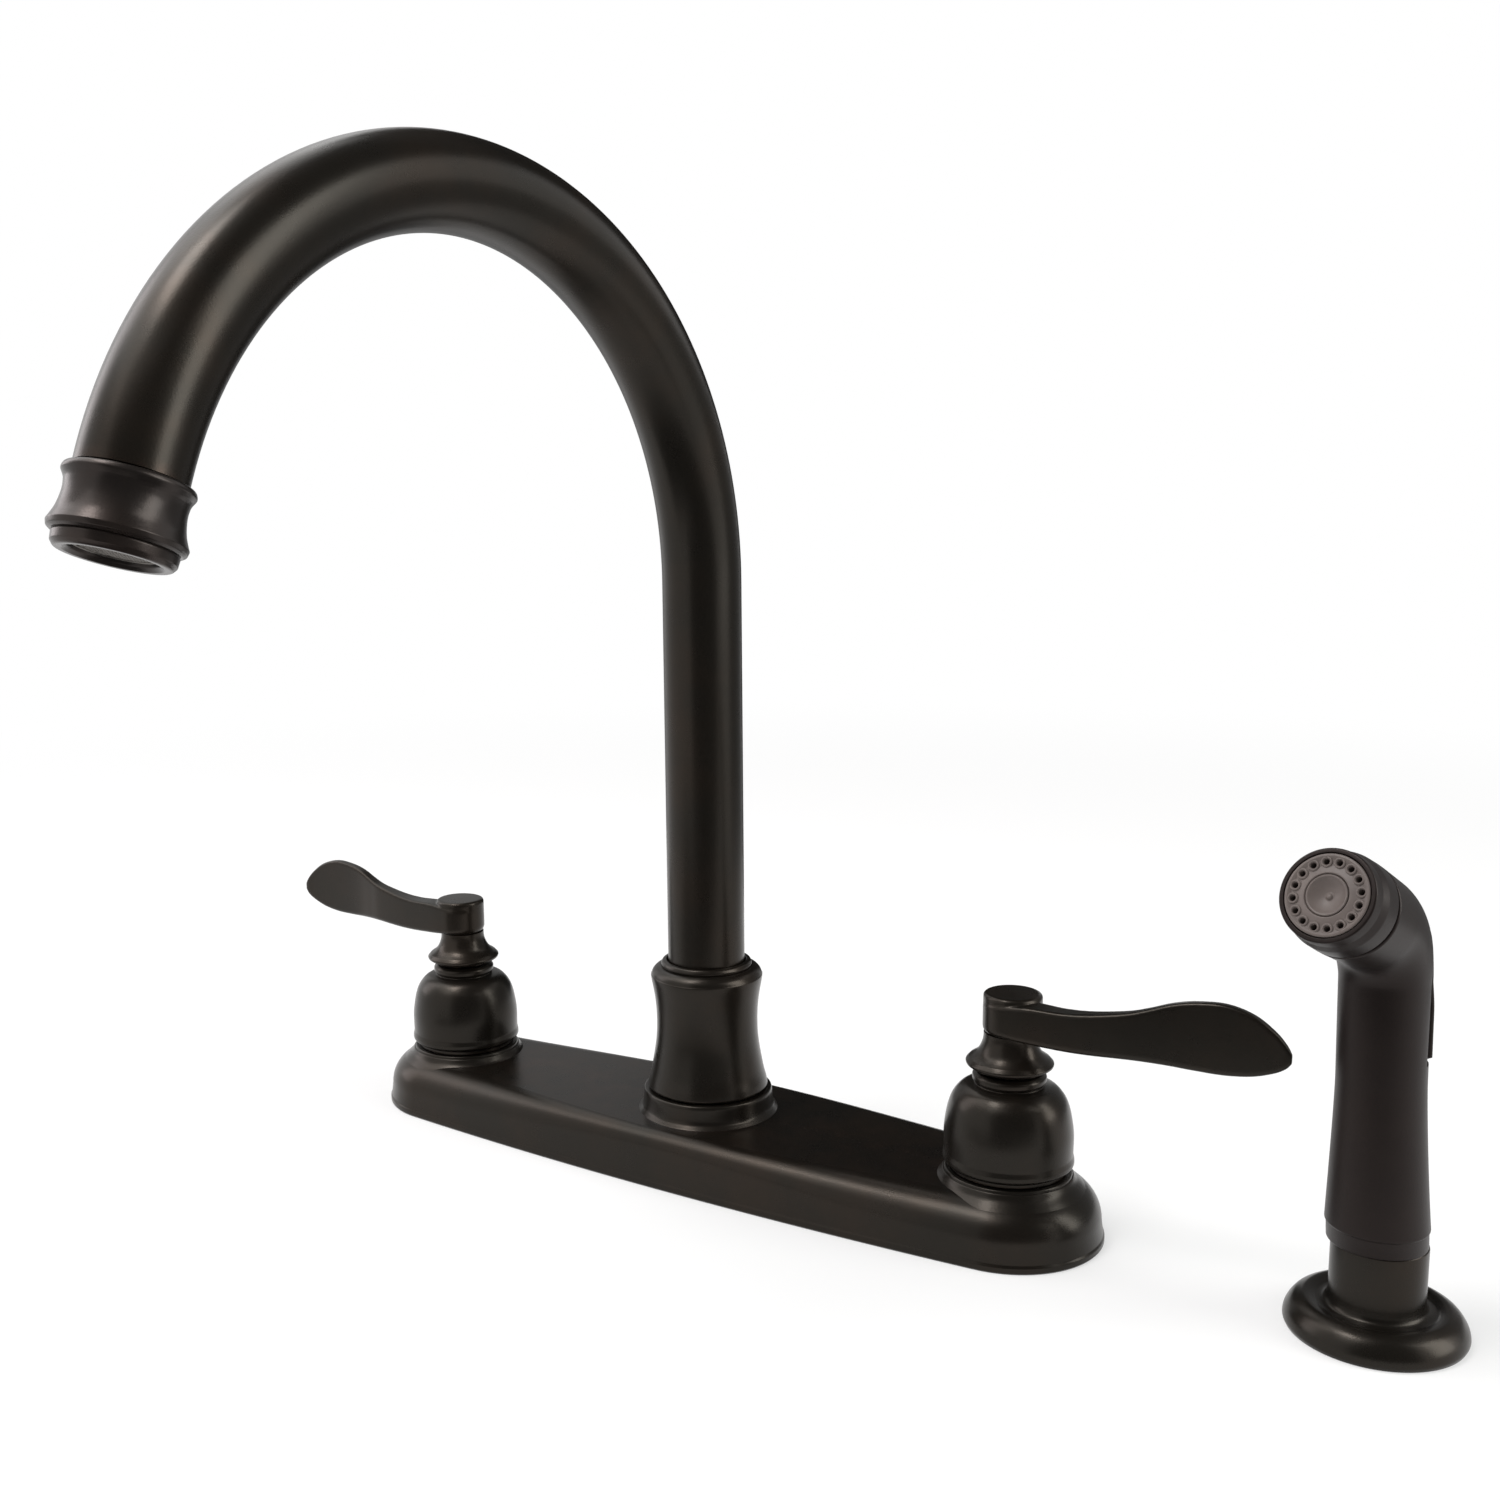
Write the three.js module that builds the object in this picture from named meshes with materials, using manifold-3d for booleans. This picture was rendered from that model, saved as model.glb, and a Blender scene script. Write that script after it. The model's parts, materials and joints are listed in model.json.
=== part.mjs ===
// A two-handle kitchen faucet with a gooseneck spout and a side sprayer, as an assembly of named pieces.
// Millimetres, +Z up. The origin lies on the sink deck under the spout's axis, +X runs towards the right
// handle and the sprayer, and the spout points to -Y, over the sink.
import * as THREE from "three";
import { mergeVertices } from "three/addons/utils/BufferGeometryUtils.js";
import Module from "manifold-3d";

const wasm = await Module();
wasm.setup();

// ---------------------------------------------------------------------------------------------------
// Driving sizes
// ---------------------------------------------------------------------------------------------------

const fitGap = 0.3; // left between pieces that rest on or fit into each other
const runGap = 0.4; // left round pieces that turn or slide
const fine = 20; // facets round the pieces that show
const plain = 12; // facets round the pieces inside and under the deck

const handleSpacing = 203.2; // 8 in between the handle holes
const sprayerSpacing = 99.6; // from the right handle hole to the sprayer's hole
const sprayerForward = 1.5; // how far that hole lies in front of the others
const deckThickness = 16; // the sink deck that the nuts clamp

// deck plate
const gasketThickness = 1.2;
const gasketWidth = 5;
const plateEndRadius = 27.2;
const plateHalfWidth = 31;
const plateHeight = 17;
const plateWall = 2.4;
const plateRoof = 2.4;
const plateRim = 5; // rounding between wall and top, in the middle
const plateEndRim = 10.4; // and round the ends
const lipProud = 0.9;
const lipHeight = 4.2;
const bossHeight = 3;
const bossEdge = 1;
const bossFlare = 1.6; // how much wider a boss is at its foot
const hubBossHeight = 7;
const bossLedge = 1.3; // how far the middle boss shows round the hub

// cartridges, from the outside of the bonnet inwards
const cartridgeRadius = 8.2;
const cartridgeWall = 1.9;
const cartridgeHeight = 26.4;
const cartridgeHead = 6; // thickness of the cartridge's top
const cupWall = 2.8;
const cupDepth = 13;
const clampNutWidth = 2.2;
const clampNutHeight = 9.6;
const clampNutRoom = 1.3;
const bonnetWall = 3.2;
const bonnetHeight = 28.3;
const bonnetBead = 0.3; // how far the foot's bead stands out from the bell
const bonnetFootInset = 1.5;
const bonnetNeckRadius = 10.2;
const bonnetNeckHeight = 3.6;
const sealThickness = 2;
const sealWidth = 2.6;
const discThickness = 2.6;
const discPort = 1.7;
const stemRadius = 4;

// brass casting under the plate
const castingLift = 0.5; // over the deck
const barRadius = 6;
const barBore = 3.5;
const socketWall = 4;

// supply shanks, washers and nuts
const shankRadius = 10.4;
const shankBore = 6.5;
const shankBelowDeck = 52;
const washerWidth = 8;
const washerThickness = 2;
const shankNutWall = 4.3;
const shankNutHeight = 12;
const wingReach = 8;
const wingThickness = 4;
const wingStep = 3; // how far the wings' tops lie under the nut's top

// side spray outlet under the middle of the plate
const outletRadius = 7;
const outletBore = 3.6;
const outletLength = 34;
const outletHexHeight = 8;
const outletHexProud = 2.1;
const outletNutWall = 3.4;
const outletNutHeight = 7;

// gooseneck
const tubeRadius = 12;
const tubeWall = 1.5;
const neckRadius = 103.5;
const neckBend = 160.6; // degrees
const neckSpring = 183.7; // height at which the bend starts
const neckFacets = 16;
const neckSteps = 26;
const spoutTurn = -2.6; // degrees that the spout stands turned at rest
const sleeveGap = 1.3; // from the sleeve's top to the lower sealing ring
const sleeveWall = 1.6;
const keeperProud = 1.5;
const keeperHeight = 1.6;
const keeperLift = 3; // from the tube's foot to the keeper ring

// spout post, bearings and hub
const postWall = 2.8;
const postShoulder = 0.7; // how much thicker the post is in its socket
const postDrop = 2.7; // from the hub's top down to the post's
const postFlangeLift = 5;
const postFlangeHeight = 9;
const postFlangeRoom = 1.6;
const ringSection = 0.9; // radius of a sealing ring's section
const ringGroove = 0.7;
const ringGrooveHalf = 1.3;
const ringPitch = 7.5;
const ringDrop = 6; // from the post's top to the upper sealing ring
const thrustThickness = 1.7;
const hubHeight = 39.4;
const hubWall = 1.7; // at the waist
const hubFootFlare = 3.2;
const hubTopFlare = 1.6;
const hubShoulder = 6.5; // how far the hub's inner shoulder lies above the spout's foot
const hubCapWidth = 1.9;
const hubCapHeight = 2;

// diverter in the post
const diverterHeight = 23;
const diverterWaist = 3;
const diverterCollar = 5;

// spout tip and aerator
const tipBead = 1.9; // how far it stands out from the tube
const tipNeck = 0.9;
const tipFlare = 2.5;
const tipBeadHeight = 2.8;
const tipLength = 14.4;
const tipSocket = 6; // how far the tip's spigot reaches up the tube
const tipSpigotPlay = 0.9; // the tube bends away from the straight spigot
const tipSpigotWall = 1.5;
const aeratorInset = 1.4; // from the tip's edge in to the aerator's rim
const aeratorReach = 3.4;
const aeratorWall = 1.9;
const aeratorDepth = 10;
const aeratorHoles = 8;
const aeratorHoleRadius = 1;
const aeratorHoleRing = 6.1;
const screenSet = 1.4; // how far the screen lies back from the rim
const screenThickness = 1.2;
const screenPitch = 3.4;
const screenBar = 1;

// lever handles
const skirtHeight = 10.8;
const skirtTopRadius = 7.3;
const skirtFlare = 4.9;
const drumStep = 0.9; // from the skirt's top out to the drum
const drumAhead = 0.6; // from the stem's axis to the drum's, towards the blade
const drumHeight = 11.4;
const drumEdge = 1;
const drumCapHeight = 1.6; // the drum's narrower top
const drumCapStep = 0.35;
const drumRoof = 4.6;
const leverLength = 76.2;
const setScrewRadius = 1.6;
const setScrewLength = 3.6;
const setScrewSocket = 1.2;
const setScrewLift = 3.6;
const bladeEdge = 1.3; // rounding of the blade's edges
// blade: share of the lever's length, foot and top above the drum's foot, middle across, thickness
const bladeStations = [
  [0, 0.1, 10.4, -4.2, 8],
  [0.12, -0.4, 10.3, -4.4, 7.1],
  [0.23, -0.8, 10.1, -4.2, 6.2],
  [0.33, -0.8, 10.8, -3.7, 5.4],
  [0.45, -0.5, 12.5, -2.7, 4.4],
  [0.57, -0.8, 15.6, -1.6, 3.8],
  [0.68, -1.2, 17.6, -0.8, 3.5],
  [0.78, -1.2, 18, -0.2, 3.2],
  [0.87, -0.3, 16.2, 0.2, 3],
  [0.94, 1.5, 12.8, 0.2, 2.6],
  [1, 5.1, 7.5, -0.3, 1],
];

// sprayer holder
const holderHeight = 7.6;
const holderDish = 0.9;
const holderFillet = 1.6; // round the collar's foot
const holderCollarWall = 2.5;
const holderCollarRise = 16.6; // from the flange's top to the collar's
const holderRimWidth = 5.7;
const holderSkirtWidth = 4.8;
const holderRimEdge = 3; // width of the flange's own foot round the gasket
const holderShankWall = 3;
const holderShankLength = 30;
const holderNutWall = 6;
const holderNutHeight = 9;
const holderNutFlange = 2;

// sprayer
const sprayerTurn = -13.5; // degrees that the sprayer's head looks away from -Y
const headRise = 25.4; // degrees that the head looks up
const gripFootRadius = 12.6;
const gripWaistRadius = 10.4;
const gripHeight = 68.9; // from the grip's foot to where it starts to bend
const gripLean = 6; // how far the grip's axis has come forward there
const gripFootLean = 1.6; // and how far forward it starts
const gripBendRadius = 18;
const gripWall = 2.2;
const headRadius = 12.1;
const headStraight = 12.3; // from the end of the bend to the head's groove
const noseLength = 11.6;
const noseRimRadius = 11.2;
const noseWall = 1.4;
const faceThickness = 3.5;
const nozzleRing = 7.9;
const nozzles = 16;
const nozzleBore = 0.75;
const buttonRadius = 4.9;
const couplingRadius = 8.5;
const couplingNeckRadius = 7; // of its part inside the grip
const couplingPlay = 0.5; // round the hose coupling in the holder
const couplingBore = 4;
const couplingAbove = 14; // how far the coupling reaches into the grip
const couplingBelow = 22;
const waterTubeWall = 1.6;
const valveRadius = 5.2;
const valveLift = 38; // from the grip's foot to the valve's
const valveHeight = 30;
const plungerLift = 58; // from the grip's foot to the plunger
const plungerRadius = 1.5;
const plungerHeadRadius = 2.6;
const plungerHeadThickness = 1.2;
const plungerPocket = 4.4;
const springCoils = 4;
const springWire = 0.35; // radius
const triggerLift = 49.2; // from the grip's foot to the trigger's
const triggerHalfWidth = 10.3;
const triggerNeckHalf = 6.2; // half width of its narrower top
const triggerShoulder = 36; // degrees round the bend where it narrows
const triggerInset = 4.5; // how far its sides stay behind the grip's middle
const triggerProud = 0.8;
const triggerThickness = 3.2;
const triggerSwing = 4; // degrees that it can be squeezed
const pinAngle = 52; // degrees round the bend from its start to the trigger's pin
const pinInset = 3.9;
const pinRadius = 1;
const pinReach = 7.4;
const knuckleRadius = 2.7;

// ---------------------------------------------------------------------------------------------------
// Levels and places that follow from them
// ---------------------------------------------------------------------------------------------------

const plateTop = plateHeight;
const bossTop = plateTop + bossHeight;
const hubBossTop = plateTop + hubBossHeight;
const handleX = handleSpacing / 2;
const sprayerX = handleX + sprayerSpacing;

const cupBore = cartridgeRadius + runGap;
const cupRadius = cupBore + cupWall;
const clampNutRadius = cupRadius + clampNutWidth;
const bonnetInside = clampNutRadius + clampNutRoom;
const bonnetRadius = bonnetInside + bonnetWall;
const cartridgeBore = cartridgeRadius - cartridgeWall;

const castingFoot = castingLift;
const cupFloor = bossTop - cupDepth;
const barHeight = castingFoot + barRadius;
const shankTop = castingFoot - fitGap;
const washerFoot = -deckThickness - washerThickness;

const tubeBore = tubeRadius - tubeWall;
const sleeveBore = tubeBore - fitGap - sleeveWall;
const postRadius = sleeveBore - runGap;
const postBore = postRadius - postWall;
const postFootRadius = postRadius + postShoulder;
const socketBore = postFootRadius + fitGap;
const socketRadius = socketBore + socketWall;
const keeperRadius = tubeRadius + fitGap + keeperProud;
const hubBore = keeperRadius + runGap;
const postFlangeRadius = hubBore - postFlangeRoom;
const hubWaistRadius = hubBore + hubWall;
const hubFootRadius = hubWaistRadius + hubFootFlare;
const hubCapRadius = tubeRadius + runGap + hubCapWidth;
const hubBossRadius = hubFootRadius + bossLedge;

const hubFoot = hubBossTop + fitGap;
const hubTop = hubFoot + hubHeight;
const postTop = hubTop - postDrop;
const postFlangeFoot = bossTop + postFlangeLift;
const postFlangeTop = postFlangeFoot + postFlangeHeight;
const ringHeights = [postTop - ringDrop - ringPitch, postTop - ringDrop];
const sleeveTop = ringHeights[0] - ringSection - sleeveGap;
const thrustFoot = postFlangeTop + fitGap;
const spoutFoot = thrustFoot + thrustThickness + fitGap;

const bonnetFoot = bossTop + fitGap;
const bonnetTop = bonnetFoot + bonnetHeight;
const sealFoot = cupFloor + fitGap;
const cartridgeFoot = sealFoot + sealThickness + fitGap;
const cartridgeTop = cartridgeFoot + cartridgeHeight;
const stemFoot = cartridgeFoot + 2 * (discThickness + fitGap);
const skirtFoot = bonnetTop + runGap;
const skirtTop = skirtFoot + skirtHeight;
const drumRadius = skirtTopRadius + drumStep;
const drumFoot = skirtTop + fitGap;
const drumTop = drumFoot + drumHeight;
const stemTop = drumTop - drumRoof - fitGap;

const tipFlareRadius = tubeRadius + tipFlare;
const aeratorRadius = tipFlareRadius - aeratorInset;
const housingRadius = aeratorRadius - aeratorWall;
const housingBore = housingRadius - aeratorWall;
const aeratorRim = tipLength + aeratorReach;
const aeratorFoot = aeratorRim - aeratorDepth;

const holderTop = holderHeight;
const holderBore = couplingRadius + couplingPlay;
const holderCollarRadius = holderBore + holderCollarWall;
const holderCollarTop = holderTop + holderCollarRise;
const holderRimRadius = holderCollarRadius + holderRimWidth;
const holderRadius = holderRimRadius + holderSkirtWidth;
const holderShankRadius = holderBore + holderShankWall;

const gripFoot = holderCollarTop + fitGap;
const gripBendHeight = gripFoot + gripHeight;
const couplingTop = gripFoot + couplingAbove;
const valveFoot = gripFoot + valveLift;
const valveTop = valveFoot + valveHeight;
const plungerHeight = gripFoot + plungerLift;
const triggerFoot = gripFoot + triggerLift;
const faceRadius = noseRimRadius - noseWall;

// ---------------------------------------------------------------------------------------------------
// Materials
// ---------------------------------------------------------------------------------------------------

const finish = (color, roughness, metalness) =>
  new THREE.MeshStandardMaterial({ color, roughness, metalness });
const bronze = finish(0x2b2422, 0.4, 0.8);
const bronzeTip = finish(0x3a3230, 0.45, 0.7);
const sprayPlastic = finish(0x2e2726, 0.5, 0.2);
const facePlastic = finish(0x665a56, 0.55, 0.1);
const brass = finish(0xb08d4a, 0.35, 0.9);
const steel = finish(0xb8babd, 0.3, 0.9);
const rubber = finish(0x161616, 0.85, 0);
const nylon = finish(0xd9d6cc, 0.6, 0);
const ceramic = finish(0xe8e6e0, 0.25, 0);
const blackPlastic = finish(0x1d1d1f, 0.6, 0);

// ---------------------------------------------------------------------------------------------------
// Geometry helpers
// ---------------------------------------------------------------------------------------------------

const radians = THREE.MathUtils.degToRad;

/** A closed BufferGeometry as a solid whose faces point outwards. */
function solid(geometry) {
  const bare = new THREE.BufferGeometry();
  bare.setAttribute("position", geometry.getAttribute("position"));
  bare.setIndex(geometry.index);
  const merged = mergeVertices(bare, 1e-4);
  const corners = merged.index.array;
  const outward = [];
  const inward = [];
  for (let i = 0; i < corners.length; i += 3) {
    const [a, b, c] = corners.subarray(i, i + 3);
    const empty = a === b || b === c || c === a; // at a pole
    if (!empty) {
      outward.push(a, b, c);
      inward.push(a, c, b);
    }
  }
  const make = (triangles) =>
    new wasm.Manifold(
      new wasm.Mesh({
        numProp: 3,
        vertProperties: merged.getAttribute("position").array,
        triVerts: new Uint32Array(triangles),
      }),
    );
  const made = make(outward);
  return made.volume() < 0 ? make(inward) : made;
}

const join = (first, ...rest) => rest.reduce((a, b) => a.add(b), first);
const cut = (first, ...rest) => rest.reduce((a, b) => a.subtract(b), first);

/** A named mesh of a solid. */
function piece(name, body, material) {
  const { numProp, numVert, vertProperties, triVerts } = body.getMesh();
  const position = new Float32Array(numVert * 3);
  for (let i = 0; i < numVert; i++) {
    position.set(vertProperties.subarray(i * numProp, i * numProp + 3), i * 3);
  }
  const geometry = new THREE.BufferGeometry();
  geometry.setAttribute("position", new THREE.BufferAttribute(position, 3));
  geometry.setIndex(new THREE.BufferAttribute(new Uint32Array(triVerts), 1));
  geometry.computeVertexNormals();
  const mesh = new THREE.Mesh(geometry, material);
  mesh.name = name;
  return mesh;
}

/** A surface turned about Z from [radius, height] points. Off the axis, the profile closes on itself. */
function turnedGeometry(profile, facets = plain) {
  const points = profile.map(([r, z]) => new THREE.Vector2(r, z));
  if (profile[0][0] > 0) points.push(points[0].clone());
  return new THREE.LatheGeometry(points, facets).rotateX(Math.PI / 2);
}

const turned = (profile, facets) => solid(turnedGeometry(profile, facets));

/** Profile points of an arc about [r, z], from one angle to another in degrees. */
function arc(r, z, radius, from, to, steps) {
  return Array.from({ length: steps + 1 }, (_, i) => {
    const angle = radians(from + ((to - from) * i) / steps);
    return [r + radius * Math.cos(angle), z + radius * Math.sin(angle)];
  });
}

/** Profile points of a smooth curve through the given points. */
const smooth = (points, steps) =>
  new THREE.SplineCurve(points.map(([r, z]) => new THREE.Vector2(r, z)))
    .getPoints(steps)
    .map((p) => [p.x, p.y]);

const rodGeometry = (radius, low, high, facets = plain) =>
  turnedGeometry([[0, low], [radius, low], [radius, high], [0, high]], facets);

const rod = (...sizes) => solid(rodGeometry(...sizes));

/** A tube, of which the bore may have more facets than the outside. */
const pipe = (outer, inner, low, high, facets = plain, boreFacets = facets) =>
  cut(rod(outer, low, high, facets), rod(inner, low - 1, high + 1, boreFacets));

/** A rod from one point to another. */
function rodBetween(radius, from, to, facets = plain) {
  const along = to.clone().sub(from);
  const geometry = rodGeometry(radius, 0, along.length(), facets);
  const up = new THREE.Vector3(0, 0, 1);
  const turn = new THREE.Quaternion().setFromUnitVectors(up, along.normalize());
  return solid(geometry.applyQuaternion(turn).translate(from.x, from.y, from.z));
}

/** An upright rod about a line beside the axis. */
const rodAt = (x, y, ...sizes) => solid(rodGeometry(...sizes).translate(x, y, 0));

function block(x0, x1, y0, y1, z0, z1) {
  const geometry = new THREE.BoxGeometry(x1 - x0, y1 - y0, z1 - z0);
  return solid(geometry.translate((x0 + x1) / 2, (y0 + y1) / 2, (z0 + z1) / 2));
}

/** A surface through rings of points, all with the same count, closed by a fan at each end. */
function loftGeometry(rings) {
  const count = rings[0].length;
  const points = rings.flat();
  const index = [];
  for (let ring = 0; ring + 1 < rings.length; ring++) {
    for (let i = 0; i < count; i++) {
      const a = ring * count + i;
      const b = ring * count + ((i + 1) % count);
      index.push(a, b, b + count, a, b + count, a + count);
    }
  }
  const last = (rings.length - 1) * count;
  const middle = (ring) =>
    ring.reduce((sum, p) => sum.add(p), new THREE.Vector3()).divideScalar(count);
  points.push(middle(rings[0]), middle(rings[rings.length - 1]));
  for (let i = 0; i < count; i++) {
    const next = (i + 1) % count;
    index.push(next, i, points.length - 2);
    index.push(last + i, last + next, points.length - 1);
  }
  const geometry = new THREE.BufferGeometry().setFromPoints(points);
  return geometry.setIndex(index);
}

const loft = (rings) => solid(loftGeometry(rings));

// ---------------------------------------------------------------------------------------------------
// Deck plate
// ---------------------------------------------------------------------------------------------------

/**
 * The plate's boat-shaped outline: two round ends and two long arcs tangent to them. It is drawn in and
 * lifted by one [inset, height] in the middle and another round the ends.
 */
function plateRing(middle, ends = middle, endSteps = 8, sideSteps = 8) {
  const end = plateEndRadius;
  const bulge = plateHalfWidth - end;
  const side = (handleX ** 2 + plateHalfWidth ** 2 - end ** 2) / (2 * bulge);
  const tangent = Math.atan2(side - plateHalfWidth, handleX);
  const half = [];
  for (let i = 0; i <= endSteps; i++) {
    const angle = THREE.MathUtils.lerp(-tangent, tangent, i / endSteps);
    const reach = end - ends[0];
    const [x, y] = [reach * Math.cos(angle), reach * Math.sin(angle)];
    half.push(new THREE.Vector3(handleX + x, y, ends[1]));
  }
  for (let i = 1; i < sideSteps; i++) {
    const angle = THREE.MathUtils.lerp(tangent, Math.PI - tangent, i / sideSteps);
    const share = THREE.MathUtils.smoothstep(Math.abs(side * Math.cos(angle)), 0, handleX);
    const reach = side - THREE.MathUtils.lerp(middle[0], ends[0], share);
    const height = THREE.MathUtils.lerp(middle[1], ends[1], share);
    const [x, y] = [reach * Math.cos(angle), reach * Math.sin(angle)];
    half.push(new THREE.Vector3(x, plateHalfWidth - side + y, height));
  }
  return [...half, ...half.map((p) => new THREE.Vector3(-p.x, -p.y, p.z))];
}

/** Everything inside the outline between levels, each an [inset, height] in the middle and at the ends. */
const plateStack = (middle, ends = middle) =>
  loft(middle.map((level, i) => plateRing(level, ends[i])));

/** A low round boss that a bonnet or the hub stands on. */
const boss = (radius, x, top) =>
  solid(
    turnedGeometry(
      [
        [0, plateTop - plateRoof / 2],
        [radius + bossFlare, plateTop - plateRoof / 2],
        [radius, plateTop + bossHeight - bossEdge],
        [radius, top - bossEdge],
        [radius - bossEdge * 0.4, top - bossEdge * 0.3],
        [radius - bossEdge, top],
        [0, top],
      ],
      fine,
    ).translate(x, 0, 0),
  );

function deckPlate() {
  const outer = (rim) => [
    [lipProud * 0.5, 0],
    [0, lipHeight * 0.2],
    [0, lipHeight * 0.8],
    [lipProud, lipHeight],
    ...arc(0, plateTop - rim, rim, 0, 90, 4).map(([run, z]) => [lipProud + rim - run, z]),
  ];
  const inner = (rim) => [
    [lipProud + plateWall, -1],
    [lipProud + plateWall, plateTop - rim],
    [lipProud + rim, plateTop - plateRoof],
  ];
  const outside = plateStack(outer(plateRim), outer(plateEndRim));
  const inside = plateStack(inner(plateRim), inner(plateEndRim));
  const bosses = [
    boss(hubBossRadius, 0, hubBossTop),
    boss(bonnetRadius, handleX, bossTop),
    boss(bonnetRadius, -handleX, bossTop),
  ];
  return cut(
    join(outside, ...bosses),
    inside,
    rodAt(0, 0, socketRadius + fitGap, -1, hubBossTop + 1),
    rodAt(handleX, 0, cupRadius + fitGap, -1, bossTop + 1),
    rodAt(-handleX, 0, cupRadius + fitGap, -1, bossTop + 1),
  );
}

/** A flat ring inside the plate's wall. */
function plateGasket() {
  const outer = lipProud + plateWall + fitGap;
  return cut(
    plateStack([[outer, 0], [outer, gasketThickness]]),
    plateStack([[outer + gasketWidth, -1], [outer + gasketWidth, gasketThickness + 1]]),
  );
}

// ---------------------------------------------------------------------------------------------------
// Brass casting under the plate, with the supplies and the spray outlet
// ---------------------------------------------------------------------------------------------------

function waterwayCasting() {
  const end = (x) => new THREE.Vector3(x, 0, barHeight);
  const sides = [-handleX, handleX];
  return cut(
    join(
      rod(socketRadius, castingFoot, bossTop),
      rodBetween(barRadius, end(-handleX), end(handleX), 12),
      ...sides.map((x) => rodAt(x, 0, cupRadius, castingFoot, bossTop)),
    ),
    rodBetween(barBore, end(-handleX), end(handleX), 8),
    rod(socketBore, cupFloor, bossTop + 1),
    rod(outletBore, castingFoot - 1, cupFloor + 1, 8),
    ...sides.map((x) => rodAt(x, 0, cupBore, cupFloor, bossTop + 1)),
    ...sides.map((x) => rodAt(x, 0, barBore, castingFoot - 1, cupFloor + 1, 8)),
  );
}

const supplyShank = () => pipe(shankRadius, shankBore, -shankBelowDeck, shankTop);

const shankWasher = () =>
  pipe(shankRadius + washerWidth, shankRadius + fitGap, washerFoot, -deckThickness);

/** A moulded wing nut that runs up a shank to the washer. */
function shankNut() {
  const top = washerFoot - fitGap;
  const low = top - shankNutHeight;
  const radius = shankRadius + fitGap + shankNutWall;
  const reach = radius + wingReach;
  const half = wingThickness / 2;
  return cut(
    join(rod(radius, low, top), block(-reach, reach, -half, half, low, top - wingStep)),
    rod(shankRadius + fitGap, low - 1, top + 1),
  );
}

/** The nipple that the spray hose screws onto, with a hexagon at its foot. */
const sprayOutlet = () =>
  cut(
    join(
      rod(outletRadius, -outletLength, shankTop),
      rod(outletRadius + outletHexProud, -outletLength, outletHexHeight - outletLength, 6),
    ),
    rod(outletBore, -outletLength - 1, shankTop + 1, 8),
  );

function outletNut() {
  const top = -deckThickness - fitGap;
  const radius = outletRadius + fitGap + outletNutWall;
  return pipe(radius, outletRadius + fitGap, top - outletNutHeight, top, 6, plain);
}

// ---------------------------------------------------------------------------------------------------
// Spout post, bearings and hub: all fixed
// ---------------------------------------------------------------------------------------------------

function spoutPost() {
  const grooves = ringHeights.flatMap((z) => [
    [postRadius, z - ringGrooveHalf],
    [postRadius - ringGroove, z - ringGrooveHalf],
    [postRadius - ringGroove, z + ringGrooveHalf],
    [postRadius, z + ringGrooveHalf],
  ]);
  return turned([
    [postBore, cupFloor + fitGap],
    [postFootRadius, cupFloor + fitGap],
    [postFootRadius, bossTop],
    [postRadius, postFlangeFoot - 1],
    [postFlangeRadius, postFlangeFoot],
    [postFlangeRadius, postFlangeTop],
    [postRadius, postFlangeTop],
    ...grooves,
    [postRadius, postTop],
    [postBore, postTop],
  ]);
}

const sealingRing = (height) => {
  const radius = postRadius - ringGroove + fitGap + ringSection;
  return turned(arc(radius, height, ringSection, 0, 300, 5));
};

/** The valve in the post that sends water to the sprayer while its trigger is pressed. */
function diverterValve() {
  const outer = postBore - fitGap;
  const waist = outer - diverterWaist / 2;
  const low = cupFloor + 2 * fitGap;
  const high = low + diverterHeight;
  return turned([
    [0, low],
    [outer, low],
    [outer, low + diverterCollar],
    [waist, low + diverterCollar + 1],
    [waist, high - diverterCollar - 1],
    [outer, high - diverterCollar],
    [waist, high],
    [0, high],
  ]);
}

const thrustWasher = () =>
  pipe(postFlangeRadius - fitGap, postRadius + fitGap, thrustFoot, thrustFoot + thrustThickness);

function spoutHub() {
  const shoulder = spoutFoot + hubShoulder;
  const flare = hubWaistRadius + hubTopFlare;
  const share = (part) => hubFoot + hubHeight * part;
  const bore = tubeRadius + runGap;
  return turned(
    [
      [hubBore, hubFoot],
      [hubFootRadius - 0.6, hubFoot],
      [hubFootRadius - 0.1, hubFoot + 0.6],
      ...smooth(
        [
          [hubFootRadius, share(0.04)],
          [hubWaistRadius + hubFootFlare * 0.53, share(0.16)],
          [hubWaistRadius + hubFootFlare * 0.08, share(0.38)],
          [hubWaistRadius, share(0.56)],
          [hubWaistRadius + hubTopFlare * 0.28, share(0.71)],
          [flare, share(0.91)],
        ],
        8,
      ),
      [flare, share(0.95)],
      [flare - 0.7, share(0.985)],
      [flare - 2, hubTop],
      [bore, hubTop],
      [bore, shoulder + hubBore - bore],
      [hubBore, shoulder],
    ],
    fine,
  );
}

const hubCapRing = () =>
  turned(
    [
      [tubeRadius + runGap, hubTop + fitGap],
      [hubCapRadius - 0.5, hubTop + fitGap],
      [hubCapRadius, hubTop + hubCapHeight * 0.35],
      [hubCapRadius, hubTop + hubCapHeight * 0.65],
      [hubCapRadius - 0.7, hubTop + hubCapHeight],
      [tubeRadius + runGap, hubTop + hubCapHeight],
    ],
    fine,
  );

// ---------------------------------------------------------------------------------------------------
// The spout that swivels
// ---------------------------------------------------------------------------------------------------

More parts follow.
